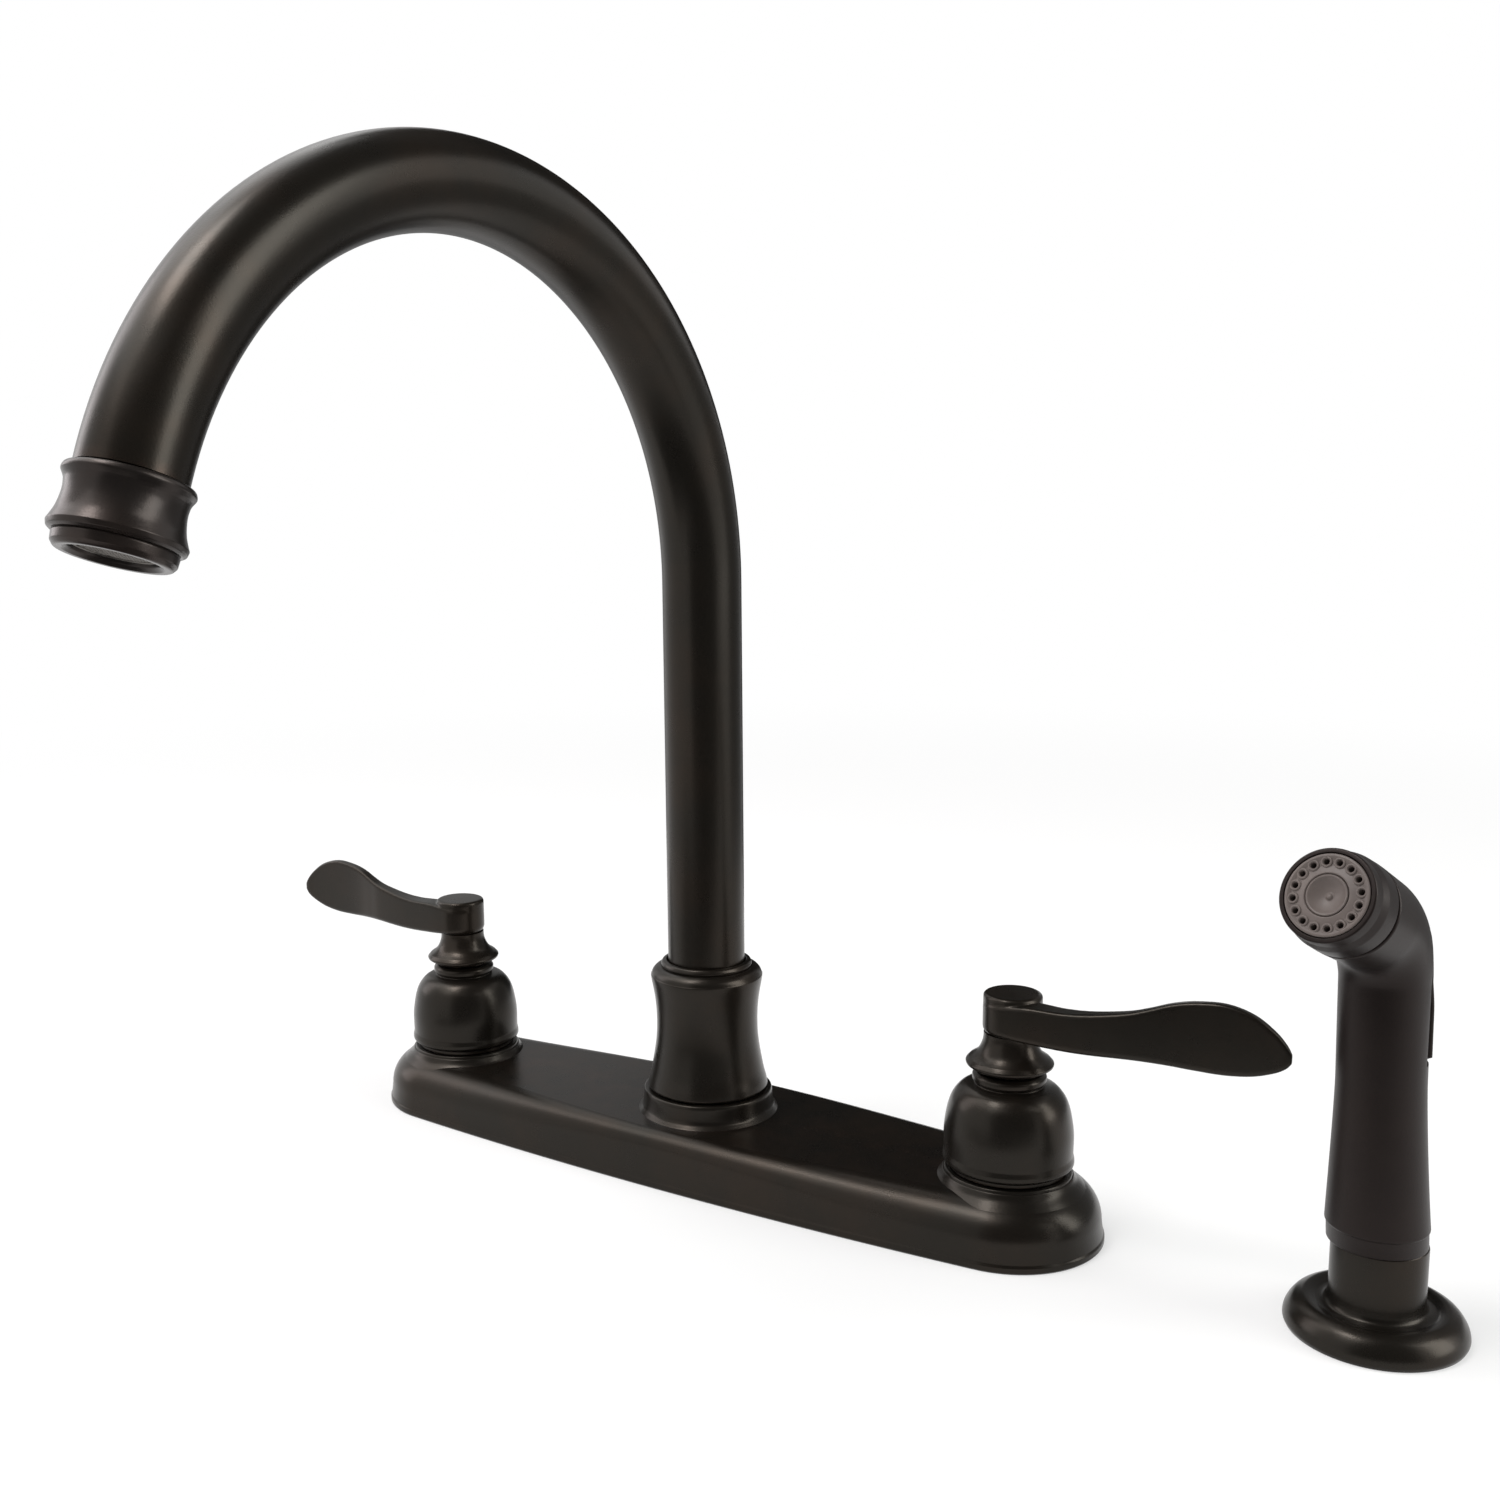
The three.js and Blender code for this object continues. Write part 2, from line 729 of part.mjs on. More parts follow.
/** The gooseneck's centre line in the YZ plane: straight up, then one large bend over the sink. */
class GooseneckCurve extends THREE.Curve {
  getPoint(t, target = new THREE.Vector3()) {
    const straight = neckSpring - spoutFoot;
    const way = t * (straight + neckRadius * radians(neckBend));
    if (way <= straight) return target.set(0, 0, spoutFoot + way);
    const angle = (way - straight) / neckRadius;
    const forward = neckRadius * (1 - Math.cos(angle));
    return target.set(0, -forward, neckSpring + neckRadius * Math.sin(angle));
  }
}

function gooseneckTube() {
  const section = new THREE.Shape().absarc(0, 0, tubeRadius, 0, 2 * Math.PI);
  section.holes.push(new THREE.Path().absarc(0, 0, tubeBore, 0, 2 * Math.PI, true));
  return solid(
    new THREE.ExtrudeGeometry(section, {
      steps: neckSteps,
      curveSegments: neckFacets / 2,
      extrudePath: new GooseneckCurve(),
    }),
  );
}

const swivelSleeve = () =>
  pipe(sleeveBore + sleeveWall, sleeveBore, spoutFoot, sleeveTop);

const keeperRing = () =>
  pipe(
    keeperRadius,
    tubeRadius + fitGap,
    spoutFoot + keeperLift,
    spoutFoot + keeperLift + keeperHeight,
    fine,
  );

// The tip's own frame has its origin at the middle of the tube's end and +Z along the way the water goes.
function spoutTip() {
  const spigot = tubeBore - tipSpigotPlay;
  const bead = tubeRadius + tipBead;
  const neck = tubeRadius + tipNeck;
  const socket = aeratorFoot - 2 * fitGap;
  return turned(
    [
      [spigot - tipSpigotWall, -tipSocket],
      [spigot, -tipSocket],
      [spigot, fitGap],
      [bead - 0.9, fitGap],
      [bead, fitGap + tipBeadHeight * 0.3],
      [bead, fitGap + tipBeadHeight * 0.6],
      [neck, fitGap + tipBeadHeight],
      [neck, tipLength * 0.35],
      [neck + 0.4, tipLength * 0.6],
      [tipFlareRadius, tipLength * 0.87],
      [tipFlareRadius, tipLength * 0.95],
      [tipFlareRadius - 0.5, tipLength],
      [housingRadius + fitGap, tipLength],
      [housingRadius + fitGap, socket],
      [spigot - tipSpigotWall, socket],
    ],
    fine,
  );
}

const aeratorHousing = () =>
  turned(
    [
      [housingBore, aeratorFoot],
      [housingRadius, aeratorFoot],
      [housingRadius, tipLength + fitGap],
      [aeratorRadius, tipLength + fitGap],
      [aeratorRadius, aeratorRim - 1.3],
      [aeratorRadius - 0.4, aeratorRim - 0.4],
      [aeratorRadius - 1.3, aeratorRim],
      [housingBore, aeratorRim],
    ],
    fine,
  );

/** Upright holes spaced round a circle. */
function holesRound(count, radius, ring, low, high) {
  return Array.from({ length: count }, (_, i) => {
    const angle = (2 * Math.PI * i) / count;
    return rodAt(ring * Math.sin(angle), ring * Math.cos(angle), radius, low, high, 6);
  });
}

function aeratorInsert() {
  const low = aeratorFoot + fitGap;
  const high = aeratorRim - screenSet - screenThickness - fitGap;
  return cut(
    rod(housingBore - fitGap, low, high, fine),
    ...holesRound(aeratorHoles, aeratorHoleRadius, aeratorHoleRing, low - 1, high + 1),
  );
}

/** The mesh at the outlet, as a plate with square gaps. */
function aeratorScreen() {
  const high = aeratorRim - screenSet;
  const low = high - screenThickness;
  const radius = housingBore - fitGap;
  const half = (screenPitch - screenBar) / 2;
  const most = Math.floor((radius - screenBar) / screenPitch);
  const gaps = [];
  for (let i = -most; i <= most; i++) {
    for (let j = -most; j <= most; j++) {
      const [x, y] = [i * screenPitch, j * screenPitch];
      const corner = Math.hypot(Math.abs(x) + half, Math.abs(y) + half);
      if (corner < radius - screenBar) {
        gaps.push(block(x - half, x + half, y - half, y + half, low - 1, high + 1));
      }
    }
  }
  return cut(rod(radius, low, high, fine), ...gaps);
}

// ---------------------------------------------------------------------------------------------------
// Valves and their lever handles, built about the valve's own axis
// ---------------------------------------------------------------------------------------------------

function bonnet() {
  const neckFoot = bonnetTop - bonnetNeckHeight;
  const bell = neckFoot - bonnetFoot;
  const foot = bonnetRadius - bonnetFootInset;
  const bead = bonnetRadius + bonnetBead;
  const share = (part) => bonnetFoot + bell * part;
  const shrunk = (part) => bonnetNeckRadius + (bonnetRadius - bonnetNeckRadius) * part;
  return turned(
    [
      [bonnetInside, bonnetFoot],
      [foot, bonnetFoot],
      [foot, share(0.04)],
      [bead, share(0.08)],
      [bead, share(0.15)],
      [bonnetRadius - 0.3, share(0.19)],
      [bonnetRadius, share(0.26)],
      ...smooth(
        [
          [bonnetRadius, share(0.42)],
          [shrunk(0.95), share(0.56)],
          [shrunk(0.85), share(0.72)],
          [shrunk(0.7), share(0.85)],
          [shrunk(0.48), share(0.95)],
          [shrunk(0.2), neckFoot],
        ],
        6,
      ),
      [bonnetNeckRadius - 0.6, neckFoot + 0.2],
      [bonnetNeckRadius, neckFoot + 0.9],
      [bonnetNeckRadius, bonnetTop - 0.9],
      [bonnetNeckRadius - 0.7, bonnetTop],
      [stemRadius + runGap, bonnetTop],
      [stemRadius + runGap, cartridgeTop + 2 * bonnetWall],
      [bonnetInside, cartridgeTop - fitGap],
    ],
    fine,
  );
}

const clampNut = () =>
  pipe(
    clampNutRadius,
    cartridgeRadius + fitGap,
    bonnetFoot,
    bonnetFoot + clampNutHeight,
    6,
    plain,
  );

const cartridgeSeal = () => {
  const outer = cartridgeRadius - fitGap;
  return pipe(outer, outer - sealWidth, sealFoot, sealFoot + sealThickness);
};

const cartridgeSleeve = () =>
  turned([
    [cartridgeBore, cartridgeFoot],
    [cartridgeRadius, cartridgeFoot],
    [cartridgeRadius, cartridgeTop],
    [stemRadius + runGap, cartridgeTop],
    [stemRadius + runGap, cartridgeTop - cartridgeHead],
    [cartridgeBore, cartridgeTop - cartridgeHead],
  ]);

/** A ceramic disc with two ports on one line. */
function ceramicDisc(low, portAngle) {
  const radius = cartridgeBore - fitGap;
  const across = (radius / 2) * Math.cos(radians(portAngle));
  const along = (radius / 2) * Math.sin(radians(portAngle));
  const port = (side) =>
    rodAt(side * across, side * along, discPort, low - 1, low + discThickness + 1, 8);
  return cut(rod(radius, low, low + discThickness), port(1), port(-1));
}

const fixedDisc = () => ceramicDisc(cartridgeFoot, 0);
const turningDisc = () => ceramicDisc(cartridgeFoot + discThickness + fitGap, 90);

const leverStem = () =>
  turned([
    [0, stemFoot],
    [cartridgeBore - runGap, stemFoot],
    [cartridgeBore - runGap, cartridgeTop - cartridgeHead - runGap],
    [stemRadius, cartridgeTop - cartridgeHead - runGap],
    [stemRadius, stemTop],
    [0, stemTop],
  ]);

function leverSkirt() {
  const lip = skirtTopRadius + skirtFlare;
  const share = (part) => skirtFoot + skirtHeight * part;
  return turned(
    [
      [stemRadius + fitGap, skirtFoot],
      [lip - 3, skirtFoot],
      [lip - 0.5, share(0.12)],
      [lip, share(0.19)],
      [lip - 0.2, share(0.29)],
      [skirtTopRadius + skirtFlare * 0.6, share(0.38)],
      [skirtTopRadius + skirtFlare * 0.25, share(0.56)],
      [skirtTopRadius, share(0.84)],
      [skirtTopRadius, skirtTop],
      [stemRadius + fitGap, skirtTop],
    ],
    fine,
  );
}

/** The lever's blade as rings along X: upright oblongs with rounded edges, widest in the leaf. */
function bladeRings() {
  const corners = [[1, 1], [-1, 1], [-1, -1], [1, -1]];
  return bladeStations.map(([out, low, high, middle, thickness]) => {
    const edge = Math.min(bladeEdge, thickness * 0.42);
    const across = thickness / 2 - edge;
    const upright = (high - low) / 2 - edge;
    return corners.flatMap(([side, up], quarter) =>
      [0, 45, 90].map((turn) => {
        const angle = radians(quarter * 90 + turn);
        const y = middle + side * across + edge * Math.cos(angle);
        const z = (low + high) / 2 + up * upright + edge * Math.sin(angle);
        return new THREE.Vector3(out * leverLength, y, drumFoot + z);
      }),
    );
  });
}

const setScrewAt = (y) => new THREE.Vector3(0, y, drumFoot + setScrewLift);

/** A lever that points to +X, or mirrored to -X. */
function lever(side) {
  const capRadius = drumRadius - drumCapStep;
  const drum = turned(
    [
      [0, drumFoot],
      [drumRadius - 0.5, drumFoot],
      [drumRadius, drumFoot + 0.5],
      [drumRadius, drumTop - drumCapHeight - drumCapStep],
      [capRadius, drumTop - drumCapHeight],
      ...arc(capRadius - drumEdge, drumTop - drumEdge, drumEdge, 0, 90, 3),
      [0, drumTop],
    ],
    fine,
  ).translate(side * drumAhead, 0, 0);
  const blade = solid(loftGeometry(bladeRings()).scale(side, 1, 1));
  const skirtRoom = rod(drumRadius, skirtFoot, drumFoot, fine);
  return cut(
    join(drum, blade.subtract(skirtRoom)),
    rod(stemRadius + fitGap, drumFoot - 1, stemTop + fitGap),
    rodBetween(setScrewRadius + fitGap, setScrewAt(0), setScrewAt(drumRadius + 1), 12),
  );
}

function setScrew() {
  const outer = drumRadius - 0.5;
  return cut(
    rodBetween(setScrewRadius, setScrewAt(outer - setScrewLength), setScrewAt(outer), 12),
    rodBetween(setScrewRadius / 2, setScrewAt(outer - setScrewSocket), setScrewAt(outer + 1), 6),
  );
}

// ---------------------------------------------------------------------------------------------------
// Sprayer holder: fixed, in its own hole in the deck
// ---------------------------------------------------------------------------------------------------

function holderBody() {
  const dish = holderTop - holderDish;
  const recess = holderRadius - holderRimEdge;
  return turned(
    [
      [holderBore, -holderShankLength],
      [holderShankRadius, -holderShankLength],
      [holderShankRadius, gasketThickness + fitGap],
      [recess, gasketThickness + fitGap],
      [recess, 0],
      [holderRadius - 0.6, 0],
      ...smooth(
        [
          [holderRadius, holderHeight * 0.18],
          [holderRadius - holderSkirtWidth * 0.12, holderHeight * 0.5],
          [holderRadius - holderSkirtWidth * 0.45, holderHeight * 0.82],
          [holderRimRadius, holderTop],
          [holderRimRadius - holderRimWidth * 0.35, dish],
          [holderCollarRadius + holderFillet, dish],
        ],
        8,
      ),
      ...arc(holderCollarRadius + holderFillet, dish + holderFillet, holderFillet, 240, 180, 2),
      [holderCollarRadius, holderCollarTop],
      [holderBore, holderCollarTop],
    ],
    fine,
  );
}

/** A flat ring in the recess under the flange. */
const holderGasket = () => {
  const outer = holderRadius - holderRimEdge - fitGap;
  return pipe(outer, holderShankRadius + fitGap, 0, gasketThickness, fine);
};

function holderNut() {
  const top = -deckThickness - fitGap;
  const bore = holderShankRadius + fitGap;
  const radius = bore + holderNutWall;
  return join(
    pipe(radius, bore, top - holderNutHeight, top, 6, fine),
    pipe(radius, bore, top - holderNutFlange, top, fine),
  );
}

// ---------------------------------------------------------------------------------------------------
// Sprayer, built with its head looking along -Y and its hole's axis on Z
// ---------------------------------------------------------------------------------------------------

const bendTurn = radians(90 - headRise);
const headWay = new THREE.Vector3(0, -Math.cos(radians(headRise)), Math.sin(radians(headRise)));

/** A point on the bend at an angle from its start, at a distance out from the bend's middle. */
const onBend = (angle, reach) =>
  new THREE.Vector3(
    0,
    Math.cos(angle) * reach - gripLean - gripBendRadius,
    Math.sin(angle) * reach + gripBendHeight,
  );

const bendEnd = onBend(bendTurn, gripBendRadius);
const headGroove = bendEnd.clone().addScaledVector(headWay, headStraight);

/** How far the grip's axis has come forward at a height. */
const leanAt = (height) => {
  const rise = THREE.MathUtils.clamp((height - gripFoot) / gripHeight, 0, 1);
  return THREE.MathUtils.lerp(gripFootLean, gripLean, rise ** 0.75);
};

/** Circles along the sprayer's centre line, each drawn in by inset, from a height to past the head's end. */
function gripRings(inset, low = gripFoot, ahead = 0, count = 16) {
  const swell = gripFootRadius - gripWaistRadius;
  const head = headRadius - gripWaistRadius;
  const upright = [0, 0.05, 0.2, 0.4, 0.62, 0.82, 1].map((share) => {
    const z = THREE.MathUtils.lerp(low, gripBendHeight, share);
    const rise = (z - gripFoot) / gripHeight;
    return {
      middle: new THREE.Vector3(0, -leanAt(z), z),
      way: new THREE.Vector3(0, 0, 1),
      radius: gripWaistRadius + swell * Math.max(0, 1 - rise / 0.62) ** 1.3,
    };
  });
  upright[0].radius -= fitGap;
  const bent = [0.2, 0.4, 0.6, 0.8, 1].map((share) => ({
    middle: onBend(bendTurn * share, gripBendRadius),
    way: new THREE.Vector3(0, -Math.sin(bendTurn * share), Math.cos(bendTurn * share)),
    radius: gripWaistRadius + head * share * 0.75,
  }));
  const straight = [0.5, 1].map((share) => ({
    middle: bendEnd.clone().addScaledVector(headWay, (headStraight + ahead) * share),
    way: headWay,
    radius: gripWaistRadius + head * (0.75 + 0.25 * share),
  }));
  return [...upright, ...bent, ...straight].map(({ middle, way, radius }) => {
    const across = new THREE.Vector3(1, 0, 0);
    const up = new THREE.Vector3().crossVectors(way, across);
    return Array.from({ length: count }, (_, i) => {
      const angle = (2 * Math.PI * i) / count;
      return middle
        .clone()
        .addScaledVector(across, (radius - inset) * Math.cos(angle))
        .addScaledVector(up, (radius - inset) * Math.sin(angle));
    });
  });
}

const pinMiddle = onBend(radians(pinAngle), gripBendRadius + gripWaistRadius - pinInset);

/** A rod across the sprayer about the trigger's pin. */
const pinRod = (radius, reach, facets) =>
  rodBetween(
    radius,
    pinMiddle.clone().setX(-reach),
    pinMiddle.clone().setX(reach),
    facets,
  );

/** A slab behind the grip's middle, from the trigger's foot to an angle round the bend, with room round it. */
function backSlab(halfWidth, angle, room) {
  const half = halfWidth + room;
  const foot = triggerFoot - room;
  const near = triggerInset - room;
  const far = 3 * gripWaistRadius;
  const steps = 5;
  const bend = (behind) =>
    Array.from({ length: steps + 1 }, (_, i) => {
      const point = onBend((angle * i) / steps, gripBendRadius + behind);
      return new THREE.Vector2(point.y, point.z);
    });
  const side = new THREE.Shape([
    new THREE.Vector2(near - leanAt(triggerFoot), foot),
    new THREE.Vector2(far, foot),
    ...bend(far),
    ...bend(near).reverse(),
  ]);
  const geometry = new THREE.ExtrudeGeometry(side, { depth: 2 * half, bevelEnabled: false });
  // the outline's x and y stand for Y and Z here
  const axes = [new THREE.Vector3(0, 1, 0), new THREE.Vector3(0, 0, 1), new THREE.Vector3(1, 0, 0)];
  geometry.applyMatrix4(new THREE.Matrix4().makeBasis(...axes));
  return solid(geometry.translate(-half, 0, 0));
}

/** The space that the trigger takes, with some room round it. */
function triggerSpace(room) {
  const shoulder = radians(triggerShoulder) + room / (gripBendRadius + gripWaistRadius);
  return join(
    backSlab(triggerHalfWidth, shoulder, room),
    backSlab(triggerNeckHalf, radians(pinAngle), room),
  );
}

/** A body turned about the trigger's pin, as when the trigger is squeezed. */
const squeezed = (body) =>
  body
    .translate(pinMiddle.clone().negate().toArray())
    .rotate([-triggerSwing, 0, 0])
    .translate(pinMiddle.toArray());

function sprayerGrip() {
  const shellAcrossWindow = loft(gripRings(-2)).subtract(loft(gripRings(2 * gripWall)));
  const window = triggerSpace(runGap);
  return cut(
    loft(gripRings(0)),
    loft(gripRings(gripWall, couplingTop, 2)),
    rod(couplingNeckRadius + fitGap, gripFoot - 1, couplingTop + 1),
    join(window, squeezed(window)).intersect(shellAcrossWindow),
    pinRod(knuckleRadius + runGap, triggerNeckHalf + runGap),
    pinRod(pinRadius + fitGap, pinReach + fitGap),
  );
}

function trigger() {
  const skin = loft(gripRings(-triggerProud));
  const core = loft(gripRings(triggerThickness - triggerProud));
  const plate = triggerSpace(0).intersect(skin.subtract(core));
  return cut(
    join(plate, pinRod(knuckleRadius, triggerNeckHalf, 12)),
    pinRod(pinRadius + fitGap, triggerNeckHalf + 1, 12),
  );
}

const triggerPin = () => pinRod(pinRadius, pinReach, 12);

// along Y at the plunger's height: the valve's middle and back, and the plunger's outer end
const valveY = -leanAt(plungerHeight);
const valveBack = valveY + valveRadius;
const triggerInside = gripWaistRadius + triggerProud - triggerThickness;
const plungerEnd = valveY + Math.sqrt(triggerInside ** 2 - plungerHeadRadius ** 2) - 2 * fitGap;
const plungerNeck = plungerEnd - plungerHeadThickness;

const plungerAt = (y) => new THREE.Vector3(0, y, plungerHeight);

function valveBody() {
  return cut(
    rodAt(0, valveY, valveRadius, valveFoot, valveTop),
    rodBetween(
      plungerHeadRadius + runGap,
      plungerAt(valveBack - plungerPocket),
      plungerAt(valveBack + 1),
      12,
    ),
    rodBetween(
      plungerRadius + runGap,
      plungerAt(valveBack - 2 * valveRadius - 1),
      plungerAt(valveBack),
      12,
    ),
  );
}

const valvePlunger = () =>
  join(
    rodBetween(plungerRadius, plungerAt(valveY - 2), plungerAt(plungerEnd), 12),
    rodBetween(plungerHeadRadius, plungerAt(plungerNeck), plungerAt(plungerEnd), 12),
  );

/** The plunger's return spring: one wire wound round its rod. */
class SpringCurve extends THREE.Curve {
  getPoint(t, target = new THREE.Vector3()) {
    const radius = plungerRadius + fitGap + springWire;
    const from = valveBack - plungerPocket + fitGap + springWire;
    const to = plungerNeck - fitGap - springWire;
    const angle = 2 * Math.PI * springCoils * t;
    const y = THREE.MathUtils.lerp(from, to, t);
    return target.set(radius * Math.cos(angle), y, plungerHeight + radius * Math.sin(angle));
  }
}

function plungerSpring() {
  const facets = 6;
  const wire = Array.from({ length: facets }, (_, i) => {
    const angle = (2 * Math.PI * i) / facets;
    return new THREE.Vector2(springWire * Math.cos(angle), springWire * Math.sin(angle));
  });
  return solid(
    new THREE.ExtrudeGeometry(new THREE.Shape(wire), {
      steps: springCoils * 8,
      extrudePath: new SpringCurve(),
    }),
  );
}

/** The tube that carries water from the hose coupling up to the valve, leaning as the grip does. */
function waterTube() {
  const from = new THREE.Vector3(0, 0, couplingTop);
  const to = new THREE.Vector3(0, valveY, valveFoot);
  const way = to.clone().sub(from).normalize();
  const outer = couplingBore + waterTubeWall;
  const tilt = Math.tan(Math.acos(way.z)) * outer; // keeps the slanted ends off their neighbours
  const start = from.clone().addScaledVector(way, fitGap + tilt);
  const end = to.clone().addScaledVector(way, -fitGap - tilt);
  const before = start.clone().addScaledVector(way, -1);
  const after = end.clone().addScaledVector(way, 1);
  return cut(rodBetween(outer, start, end), rodBetween(couplingBore, before, after, 12));
}

/** The fitting on the hose's end: a wide barrel in the holder and a neck in the grip. */
const hoseCoupling = () =>
  join(
    pipe(couplingRadius, couplingBore, gripFoot - couplingBelow, gripFoot - fitGap),
    pipe(couplingNeckRadius, couplingBore, gripFoot - couplingBelow, couplingTop),
  );

// The nose's own frame has its origin at the middle of the head's groove and +Z along the spray.
const faceFoot = noseLength - faceThickness;
const noseStep = noseLength * 0.62; // where the nose steps in to its rim

function sprayerNose() {
  const rim = noseLength - 0.3;
  const bore = buttonRadius + fitGap;
  return turned(
    [
      [bore, fitGap],
      [headRadius - 0.8, fitGap],
      [headRadius, fitGap + 0.8],
      [headRadius - 0.1, noseStep - 0.4],
      [headRadius - 0.5, noseStep],
      [noseRimRadius, noseStep + 0.3],
      [noseRimRadius, rim - 0.4],
      [noseRimRadius - 0.4, rim],
      [faceRadius + fitGap, rim],
      [faceRadius + fitGap, faceFoot - fitGap],
      [bore, faceFoot - fitGap],
    ],
    fine,
  );
}

const sprayFace = () =>
  cut(
    turned(
      [
        [buttonRadius + fitGap, faceFoot],
        [faceRadius, faceFoot],
        [faceRadius, noseLength - 0.4],
        [faceRadius - 0.4, noseLength],
        [buttonRadius + fitGap, noseLength],
      ],
      fine,
    ),
    ...holesRound(nozzles, nozzleBore, nozzleRing, faceFoot - 1, noseLength + 1),
  );

/** The dished screw in the middle of the face, long enough to reach into the nose. */
const faceScrew = () =>
  turned([
    [0, fitGap],
    [buttonRadius, fitGap],
    [buttonRadius, noseLength - 0.3],
    [buttonRadius - 0.6, noseLength + 0.2],
    [buttonRadius * 0.5, noseLength - 1.2],
    [0, noseLength - 0.8],
  ]);

// ---------------------------------------------------------------------------------------------------
// The assembly
// ---------------------------------------------------------------------------------------------------

const faucet = new THREE.Group();

const deckGroup = new THREE.Group();
deckGroup.add(
  piece("deck_plate", deckPlate(), bronze),
  piece("plate_gasket", plateGasket(), rubber),
  piece("waterway_casting", waterwayCasting(), brass),
  piece("spray_outlet", sprayOutlet(), brass),
  piece("spray_outlet_nut", outletNut(), brass),
  piece("spout_post", spoutPost(), brass),
  piece("lower_sealing_ring", sealingRing(ringHeights[0]), rubber),
  piece("upper_sealing_ring", sealingRing(ringHeights[1]), rubber),
  piece("diverter_valve", diverterValve(), nylon),
  piece("thrust_washer", thrustWasher(), nylon),
  piece("spout_hub", spoutHub(), bronze),
  piece("hub_cap_ring", hubCapRing(), bronze),
);
faucet.add(deckGroup);

const tipGroup = new THREE.Group();
tipGroup.position.copy(new GooseneckCurve().getPoint(1));
tipGroup.rotation.x = radians(neckBend);
tipGroup.add(
  piece("spout_tip", spoutTip(), bronzeTip),
  piece("aerator_housing", aeratorHousing(), bronzeTip),
  piece("aerator_insert", aeratorInsert(), facePlastic),
  piece("aerator_screen", aeratorScreen(), steel),
);
const spoutGroup = new THREE.Group();
spoutGroup.rotation.z = radians(spoutTurn);
spoutGroup.add(
  piece("gooseneck_tube", gooseneckTube(), bronze),
  piece("swivel_sleeve", swivelSleeve(), nylon),
  piece("keeper_ring", keeperRing(), steel),
  tipGroup,
);
faucet.add(spoutGroup);

for (const [hand, side] of [["left", -1], ["right", 1]]) {
  const valve = new THREE.Group();
  valve.position.x = side * handleX;
  valve.add(
    piece(`${hand}_supply_shank`, supplyShank(), brass),
    piece(`${hand}_shank_washer`, shankWasher(), steel),
    piece(`${hand}_shank_nut`, shankNut(), blackPlastic),
    piece(`${hand}_bonnet`, bonnet(), bronze),
    piece(`${hand}_clamp_nut`, clampNut(), brass),
    piece(`${hand}_cartridge_seal`, cartridgeSeal(), rubber),
    piece(`${hand}_cartridge_sleeve`, cartridgeSleeve(), brass),
    piece(`${hand}_fixed_disc`, fixedDisc(), ceramic),
    piece(`${hand}_turning_disc`, turningDisc(), ceramic),
    piece(`${hand}_lever_stem`, leverStem(), brass),
    piece(`${hand}_lever_skirt`, leverSkirt(), bronze),
    piece(`${hand}_lever`, lever(side), bronze),
    piece(`${hand}_set_screw`, setScrew(), steel),
  );
  faucet.add(valve);
}

const holderGroup = new THREE.Group();
holderGroup.position.set(sprayerX, -sprayerForward, 0);
holderGroup.add(
  piece("holder_body", holderBody(), bronze),
  piece("holder_gasket", holderGasket(), rubber),
  piece("holder_nut", holderNut(), blackPlastic),
);
faucet.add(holderGroup);

const noseGroup = new THREE.Group();
noseGroup.position.copy(headGroove);
noseGroup.rotation.x = radians(90 - headRise);
noseGroup.add(
  piece("sprayer_nose", sprayerNose(), sprayPlastic),
  piece("spray_face", sprayFace(), facePlastic),
  piece("face_screw", faceScrew(), facePlastic),
);
const sprayerGroup = new THREE.Group();
sprayerGroup.position.copy(holderGroup.position);
sprayerGroup.rotation.z = radians(sprayerTurn);
sprayerGroup.add(
  piece("sprayer_grip", sprayerGrip(), sprayPlastic),
  piece("hose_coupling", hoseCoupling(), brass),
  piece("water_tube", waterTube(), nylon),
  piece("trigger", trigger(), sprayPlastic),
  piece("trigger_pin", triggerPin(), steel),
  piece("valve_body", valveBody(), nylon),
  piece("valve_plunger", valvePlunger(), brass),
  piece("plunger_spring", plungerSpring(), steel),
  noseGroup,
);
faucet.add(sprayerGroup);

export default faucet;
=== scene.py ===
"""Looks of a two handle kitchen faucet with a gooseneck spout and a side sprayer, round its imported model.

Sizes are in millimetres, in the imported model's frame: the origin lies on the deck under the spout's
axis, +X runs towards the sprayer, the spout points to -Y and +Z is up. Meshes are made in metres.
"""

import json
import logging
import math
from collections.abc import Callable, Iterable, Sequence
from dataclasses import dataclass
from enum import Enum

import bmesh
import bpy
from mathutils import Matrix, Vector

